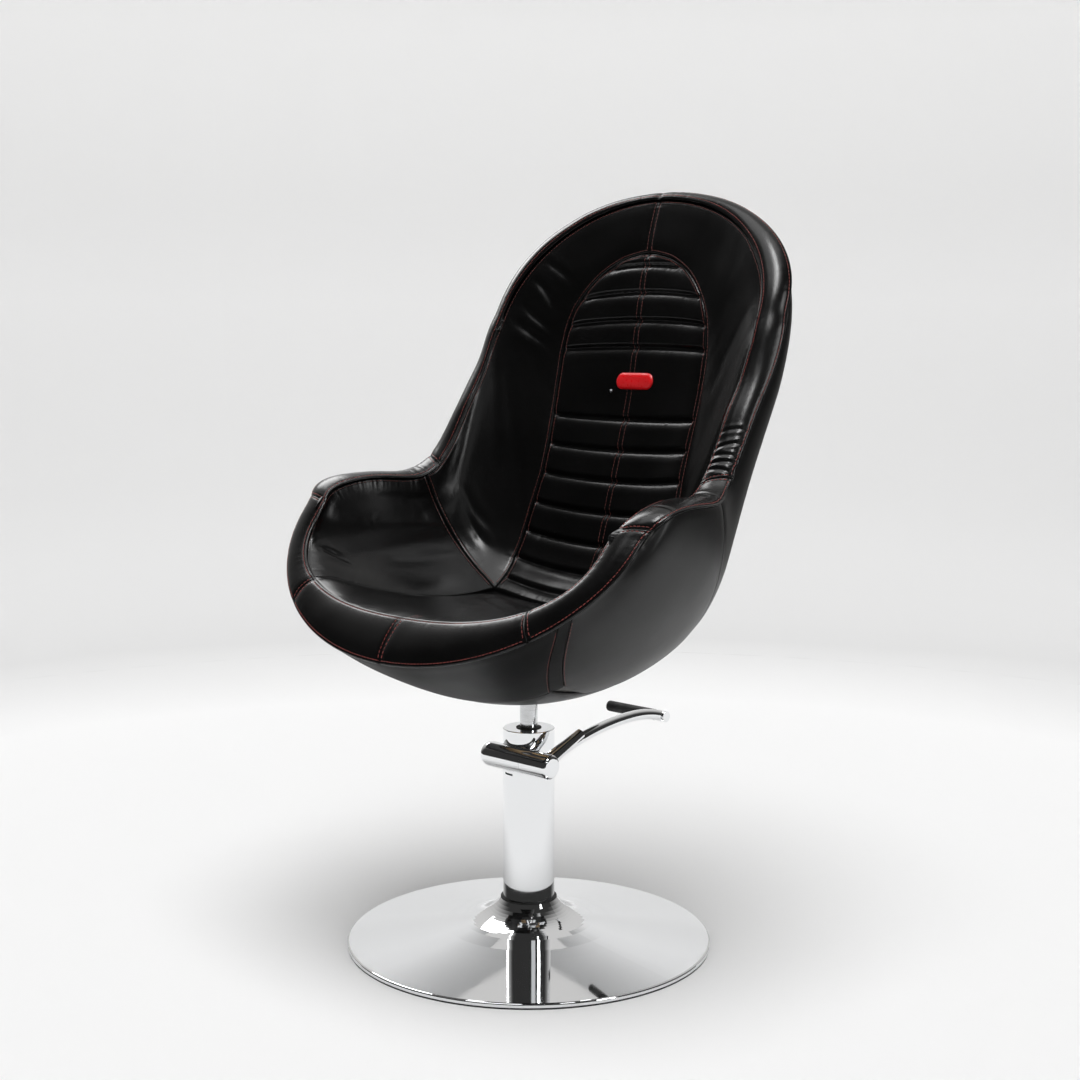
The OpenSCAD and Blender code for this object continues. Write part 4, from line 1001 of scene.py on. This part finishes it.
def outer_covers():
    def front(s, t):
        u = s * UNDER_FRONT_SHARE
        return u, (2 * t - 1) * (strip_v(u) - GAP_V)

    def strip(s, t):
        u = s * UNDER_FRONT_SHARE
        return u, strip_v(u) + mix(GAP_V, STRIP_SHARE - GAP_V, t)

    def flank(s, t):
        u = s * (UNDER_BACK_SHARE - GAP_U)
        return u, mix(side_v(u) + GAP_V, 1, t)

    def rear(s, t):
        return mix(UNDER_BACK_SHARE + GAP_U, 1, s), 2 * t - 1

    def below(s, t):
        u = mix(UNDER_FRONT_SHARE + GAP_U, UNDER_BACK_SHARE - GAP_U, s)
        return u, (2 * t - 1) * (UNDER_SIDE_SHARE - GAP_V)

    # The front cover takes the shaded copy of the leather, whose weak sheen is painted shade
    covers = {"front": dress_cover(cover_panel("front_cover", front, 40, 170, 201), "outer_front_panel",
        "shaded_front_leather")}
    for word in ("left", "right"):
        side = SIDE[word]
        piece = cover_panel("strip_cover_" + word, strip, 60, 4, 211 + side, side, 0.6)
        dress_cover(piece, "outer_strip_" + word, "strip_leather")
        piece = cover_panel("side_cover_" + word, flank, 120, 110, 221 + side, side)
        covers[word] = dress_cover(piece, "outer_side_" + word)
    dress_cover(cover_panel("rear_cover", rear, 150, 190, 231), "outer_back_panel")
    bottom = cover_panel("under_cover", below, 60, 80, 241, swell=0)
    opened_by_recess(bottom)
    dress_cover(bottom, "underside_panel")
    return covers


def opened_by_recess(piece):
    """Cuts the round opening for the seat plate out of the underside."""
    mesh = bpy.data.meshes.new("recess_cutter")
    work = bmesh.new()
    bmesh.ops.create_cone(work, cap_ends=True, segments=128, radius1=RECESS_R, radius2=RECESS_R,
        depth=SEAT_H / 2)
    work.to_mesh(mesh)
    work.free()
    cutter = link("recess_cutter", mesh)
    cutter.location.z = UNDER_Z
    change = piece.modifiers.new("recess", "BOOLEAN")
    change.operation, change.object, change.solver = "DIFFERENCE", cutter, "EXACT"
    bpy.context.view_layer.update()
    cut = bpy.data.meshes.new_from_object(piece.evaluated_get(bpy.context.evaluated_depsgraph_get()))
    piece.modifiers.clear()
    piece.data = cut
    bpy.data.objects.remove(cutter)


# Badge's bare plate and its rivet

PLATE_W, PLATE_H, PLATE_T = 78 * MM, 27 * MM, 3.2 * MM
PLATE_X, PLATE_Z = 8.5 * MM, 888 * MM
RIVET_X, RIVET_Z = -39 * MM, 871 * MM
RIVET_R, RIVET_T = 3.1 * MM, 1.6 * MM


def on_skin(tree, x, z):
    """Where a level line from the front at x, z meets the back pad, and the skin's normal there."""
    return tree.ray_cast(Vector((x, -0.2, z)), Vector((0, 1, 0)))[:2]


def domed_stadium(name, width, height, thick, rings=14, turns=72):
    """A plate with round ends and a soft domed edge, flat on its back, in the x-z plane."""
    radius, half = height / 2, (width - height) / 2
    angle = np.linspace(0, 2 * np.pi, turns, endpoint=False)
    outline = np.stack([np.cos(angle) * radius + np.sign(np.cos(angle)) * half, np.sin(angle) * radius], 1)
    spine = np.stack([np.clip(outline[:, 0], -half, half), np.zeros(turns)], 1)
    points = [(x, thick * 0.8, z) for x, z in outline]
    shares = np.sin(np.linspace(np.pi / 2, 0.02, rings))
    lift = thick * (1 - shares ** 6) + 0.35 * thick * (1 - shares ** 2)
    for share, y in zip(shares, lift):
        points += [(x, -y, z) for x, z in spine + (outline - spine) * share]
    caps = [list(range(turns)), list(range(rings * turns, (rings + 1) * turns))]
    return smooth_mesh(name, points, tube_faces(rings + 1, turns) + caps)


def bent_to(tree, mesh, x, z, half_w, half_h):
    """Lays a flat plate on the back pad, bent to its hollow across and to its lean."""
    def depth(across, up):
        return on_skin(tree, x + across * half_w, z + up * half_h)[0].y

    left, middle, right = depth(-1, 0), depth(0, 0), depth(1, 0)
    lean = (depth(0.5, 1) - depth(0.5, -1)) / 2
    bend = (left + right) / 2 - middle
    for vertex in mesh.vertices:
        across, up = vertex.co.x / half_w, vertex.co.z / half_h
        vertex.co.y += middle + bend * across ** 2 + (right - left) / 2 * across + lean * up
        vertex.co.x += x
        vertex.co.z += z


def badge(tree):
    plate = link("badge_plate", domed_stadium("badge_plate", PLATE_W, PLATE_H, PLATE_T))
    bent_to(tree, plate.data, PLATE_X, PLATE_Z, PLATE_W / 2, PLATE_H / 2)
    dress(plate, None, "pad_leather", finish="red_enamel")
    spot, normal = on_skin(tree, RIVET_X, RIVET_Z)
    rivet = link("badge_rivet", domed_stadium("badge_rivet", 2.05 * RIVET_R, 2 * RIVET_R, RIVET_T, 8, 24))
    turn = Vector((0, -1, 0)).rotation_difference(normal)
    rivet.data.transform(Matrix.Translation(spot) @ turn.to_matrix().to_4x4())
    dress(rivet, None, "pump_steel")


# Stitches: short threads laid along rows beside the seams

STITCH_L = 4.4 * MM
STITCH_PITCH = 6 * MM
THREAD_R, THREAD_SIDES = 0.5 * MM, 6
CAST = 25 * MM


class Stitches:
    """All the threads of one piece's seams, gathered into one mesh."""

    def __init__(self, pieces):
        self.trees = [tree_of(p) for p in pieces]
        self.points, self.faces = [], []

    def land(self, spot, normal):
        """The skin under a spot, looking down along its normal."""
        best = None
        for tree in self.trees:
            hit, face_normal, _, far = tree.ray_cast(Vector(spot + normal * CAST), Vector(-normal), 2 * CAST)
            if hit is not None and (best is None or far < best[2]):
                best = (np.array(hit), np.array(face_normal), far)
        return best

    def row(self, line, normals, off, skip_start=0, skip_end=0):
        """Threads beside a line of points on the bare surface; off is to its left, seen from outside.
        Both skips are in millimetres."""
        along = lengths(line)
        line = line + unit(np.cross(normals, unit(np.gradient(line, axis=0)))) * off
        total = along[-1] - (skip_start + skip_end) * MM
        count = int(total / STITCH_PITCH)
        for k in range(count):
            places = skip_start * MM + (k + 0.5) * total / count + np.array([-0.5, 0, 0.5]) * STITCH_L
            spots, ups = table_at(places, along, line), unit(table_at(places, along, normals))
            ends = [self.land(spot, up) for spot, up in zip(spots, ups)]
            if all(end is not None for end in ends):
                self.thread([end[0] for end in ends], ends[1][1])

    def thread(self, spots, normal):
        """One thread: it rises out of its hole, lies on the skin and goes down again."""
        lifts = np.array([-0.9, 0.25, 0.55, 0.6, 0.55, 0.25, -0.9]) * THREAD_R
        radii = np.array([0.55, 0.9, 1, 1, 1, 0.9, 0.55]) * THREAD_R
        shares = np.array([0, .06, .2, .5, .8, .94, 1])
        a, m, b = spots
        share = shares[:, None] * 2
        centre = np.where(share < 1, mix(a, m, share), mix(m, b, share - 1))
        run = unit(b - a)
        side = unit(np.cross(normal, run))
        up = np.cross(run, side)
        angle = np.linspace(0, 2 * np.pi, THREAD_SIDES, endpoint=False)
        ring = np.cos(angle)[:, None] * side + np.sin(angle)[:, None] * up
        first = len(self.points)
        for c, lift, r in zip(centre, lifts, radii):
            self.points += (c + up * lift + ring * r).tolist()
        end = len(self.points)
        self.faces += tube_faces(len(shares), THREAD_SIDES, first)
        self.faces += [list(range(first, first + THREAD_SIDES))[::-1], list(range(end - THREAD_SIDES, end))]

    def make(self, name, slot="pad_leather", finish="pad_thread"):
        piece = link(name, smooth_mesh(name, self.points, self.faces, turned=False))
        dress(piece, None, slot, finish=finish)


def tree_of(piece):
    work = bmesh.new()
    work.from_mesh(piece.data)
    tree = BVHTree.FromBMesh(work)
    work.free()
    return tree


def inner_row(line, side=1, count=600):
    """Points and inward normals along a (u, v) line of the inner surface."""
    line = even_line(line, count)
    u, v = line[:, 0], line[:, 1] * side
    points = inner(u, v)
    nudge = 1e-3
    du = inner(np.minimum(u + nudge, 1), v) - inner(np.maximum(u - nudge, 0), v)
    dv = inner(u, np.clip(v + nudge, -1, 1)) - inner(u, np.clip(v - nudge, -1, 1))
    normal = np.cross(unit(du), unit(dv))
    # Where the two directions nearly agree, at the rim's upper corner, the normals beside it are carried over
    sound = np.linalg.norm(normal, axis=1) > 0.3
    normal = unit(normal)
    normal *= np.sign(np.sum(normal * (points - outer(u, v)), 1, keepdims=True) + 1e-12)
    steps = np.arange(count)
    return points, unit(smoothed(table_at(steps, steps[sound], normal[sound]), 4))


def sewn_pair(pieces, line, skips, side=1, off=STITCH_OFF):
    """Threads on both sides of a (u, v) line of the inner surface."""
    rows = Stitches(pieces)
    points, normals = inner_row(line, side)
    for gap in (off, -off):
        rows.row(points, normals, gap, *skips)
    return rows


def stitch_pads(pads):
    """Rows on the inner upholstery: both sides of the seams beside the wings, and down the middles."""
    for word, side in SIDE.items():
        wing = pads["wing_" + word]
        sewn_pair([pads["back"], wing], BACK_SIDE, (12, 3), side).make("stitches_back_" + word)
        rows = sewn_pair([pads["arm_" + word], wing], ARM_TOP, (8, 5), side)
        places = np.linspace(FRONT_SEAM + 30 * MM, RIM_LENGTH / 2 - 5 * MM, 900)
        o, i, out = rim_frame(places if side > 0 else RIM_LENGTH - places)
        rows.row(i - out * STITCH_OFF, unit(i - o), 0)
        rows.make("stitches_rim_" + word)
    sewn_pair([pads["back"]], BACK_CENTRE, (12, 4), off=CENTRE_OFF).make("stitches_centre")
    sewn_pair([pads["wing_left"], pads["wing_right"]], TOP_CENTRE, (4, 4)).make("stitches_top")
    sewn_pair([pads["seat"]], SEAT_CENTRE, (5, 0)).make("stitches_seat")


def stitch_covers(covers):
    """Rows beside the strips that divide the front cover from the side covers."""
    u = np.linspace(0.02, 1, 300) * UNDER_FRONT_SHARE
    for word, side in SIDE.items():
        rows = Stitches([covers["front"], covers[word]])
        for edge, shift in ((0, -3 * MM), (STRIP_SHARE, 3 * MM)):
            v = (strip_v(u) + edge + shift / PLANE[1]) * side
            points = outer(u, v)
            rows.row(points, unit(points - inner(u, v)), 0, 8, 4)
        rows.make("stitches_strip_" + word, "outer_leather", "pad_thread")


# Stage, lights and camera

FLOOR_R, BEND_R, WALL_H = 3.1, 1.5, 3.6
WALL_START = FLOOR_R - 0.6
# The part of the wall that is mirrored in the chair lies behind it, this far to each side
MIRRORED = math.radians(16)
# The wall's own light rises with its height and fades out again above the picture
WALL_GLOW = [(0, 0), (0.1, 0.07), (0.3, 0.27), (0.6, 0.4), (0.72, 0.38), (1, 0.02)]
# The paper's colour is painted paler where the chair stands and greyer further out and up the wall: a painted
# pool of light and painted shade
LIT_PAPER_INNER, SHADED_PAPER_OUTER = (2.0, .87), (2.9, .66)


def studio_part(name, paper, profile, start, end, turns):
    """A surface swept round the upright axis, from a profile of (radius, height)."""
    closed = end - start > 2 * math.pi - 1e-6
    angles = np.linspace(start, end, turns, endpoint=not closed)
    points = [(r * math.cos(a), r * math.sin(a), z) for r, z in profile for a in angles]
    faces = [face[::-1] for face in tube_faces(len(profile), turns, closed=closed)]
    if closed:
        faces.append(list(range(turns)))
    part = link(name, smooth_mesh(name, points, faces, turned=False))
    part.data.materials.append(paper)
    return part


def backdrop():
    """A pale studio: a flat floor that turns up into a lit, glowing wall, the same to look at from every
    side. The paper's colour holds a painted pool of light near the chair and painted shade further out.
    Only the wall behind the chair is mirrored in it, as in a studio that is dark on its open sides."""
    m = Finish("studio_paper", (.86, .855, .86), 0.9, Specular_IOR_Level=0.1)
    flat = m.add("ShaderNodeVectorMath", {0: m.stretched((1, 1, 0))}, operation="LENGTH").outputs["Value"]
    (near, pale), (far, grey) = LIT_PAPER_INNER, SHADED_PAPER_OUTER
    reach = m.combine("ADD", flat, m.combine("MULTIPLY", m.noise(0.8, 2), 0.3))
    height = m.add("ShaderNodeSeparateXYZ", {"Vector": m.place}).outputs["Z"]
    # Painted pool of light and painted shade: the paper's colour is paler near the chair and greyer further
    # out and on the wall
    m.feed(Base_Color=m.ramp(m.spread(reach, 0, 1, near, far), [(0, pale), (1, grey)]),
        Emission_Color=(1, .995, .99, 1),
        Emission_Strength=m.ramp(m.spread(height, 0, 1, 0, WALL_H), WALL_GLOW))
    bend = [(FLOOR_R + BEND_R * math.sin(a), BEND_R - BEND_R * math.cos(a))
        for a in np.linspace(0, math.pi / 2, 18)]
    wall = [(WALL_START, 0), (FLOOR_R - 0.3, 0), *bend, (FLOOR_R + BEND_R, WALL_H)]
    full, behind = 2 * math.pi, math.radians(CAMERA_AZIMUTH) + math.pi / 2
    studio_part("studio_floor", m.material, [(0.3, 0), (1.2, 0), (WALL_START, 0)], 0, full, 96)
    studio_part("studio_wall", m.material, wall, behind - MIRRORED, behind + MIRRORED, 60)
    sides = studio_part("studio_sides", m.material, wall, behind + MIRRORED, behind + full - MIRRORED, 120)
    sides.visible_glossy = False


def lamp_item(name, kind, direction, energy, spot=(0, 0, 0)):
    """A lamp that shines the opposite way to direction."""
    lamp = bpy.data.lights.new(name, kind)
    lamp.energy = energy
    item = link(name, lamp)
    item.location = spot
    item.rotation_euler = Vector(direction).to_track_quat("Z", "Y").to_euler()
    return item


def area_light(name, spot, target, size, power):
    """A soft box that only shines in the reflections of the chair."""
    item = lamp_item(name, "AREA", Vector(spot) - Vector(target), power, spot)
    item.data.shape = "RECTANGLE"
    item.data.size, item.data.size_y = size
    item.visible_diffuse = False


WORLD_BRIGHT, WORLD_DARK = 0.65, 0.035
SUN_POWER, SUN_WIDTH, SUN_FROM = 2.65, math.radians(50), (0.15, -0.15, 1)
# Name, place, the spot it faces, size and power of each soft box
SOFT_BOXES = [("top_softbox", (0.1, -0.2, 3.4), (0, 0.1, 0.4), (2.2, 2.2), 32),
    ("right_strip", (2.5, 0.3, 1.6), (0, 0, 0.8), (0.5, 1.6), 18),
    ("front_softbox", (2.6, -1.1, 2.2), (0, 0, 0.9), (1.0, 1.0), 2),
    ("corner_strip", (0.72, -0.42, 3.05), (0.3, 0.2, 1.1), (0.2, 1.3), 30),
    ("left_softbox", (-1.85, 0.6, 2.4), (0, 0, 0.9), (1.0, 1.6), 30)]


def lights():
    """A dome that only shows in reflections, bright behind and above the chair and dark round the camera;
    a wide light that lights all there is, and soft boxes for the highlights."""
    world = bpy.data.worlds.new("studio")
    bpy.context.scene.world = world
    world.use_nodes = True
    world.cycles_visibility.diffuse = False
    turn = math.radians(CAMERA_AZIMUTH)
    m = Nodes(world.node_tree)
    towards = m.add("ShaderNodeVectorMath", {0: m.spots["Generated"],
        1: Vector((-math.sin(turn), math.cos(turn), 0.7)).normalized()}, operation="DOT_PRODUCT")
    m.set(m.tree.nodes["Background"], {"Color": (1, .985, .97, 1), "Strength": m.spread(
        towards.outputs["Value"], WORLD_DARK, WORLD_BRIGHT, 0.35, 0.98, interpolation_type="SMOOTHSTEP")})
    wide = lamp_item("wide_top_light", "SUN", SUN_FROM, SUN_POWER)
    wide.data.angle = SUN_WIDTH
    wide.visible_glossy = False
    for box in SOFT_BOXES:
        area_light(*box)


CAMERA_AZIMUTH = 43.3
CAMERA_FAR, CAMERA_HIGH = 2.657, 0.9744
CAMERA_DOWN = 7.04
CAMERA_LENS, CAMERA_SENSOR = 57.17, 36
CAMERA_SHIFT = 0.0104


def camera():
    data = bpy.data.cameras.new("camera")
    data.lens, data.sensor_width, data.shift_x = CAMERA_LENS, CAMERA_SENSOR, CAMERA_SHIFT
    item = link("camera", data)
    turn = math.radians(CAMERA_AZIMUTH)
    item.location = (CAMERA_FAR * math.sin(turn), -CAMERA_FAR * math.cos(turn), CAMERA_HIGH)
    item.rotation_euler = (math.radians(90 - CAMERA_DOWN), 0, turn)
    bpy.context.scene.camera = item
    bpy.context.scene.view_settings.view_transform = "Standard"


camera()
backdrop()
lights()
finish_nodes()
pads = {"seat": seat_cushion(), "back": back_pad()}
for word in SIDE:
    pads["arm_" + word] = arm_pad(word)
    pads["wing_" + word] = wing_pad(word)
bands = rim_bands()
covers = outer_covers()
badge(tree_of(pads["back"]))
stitch_pads(pads)
stitch_covers(covers)
for band in bands:
    band.stitch()
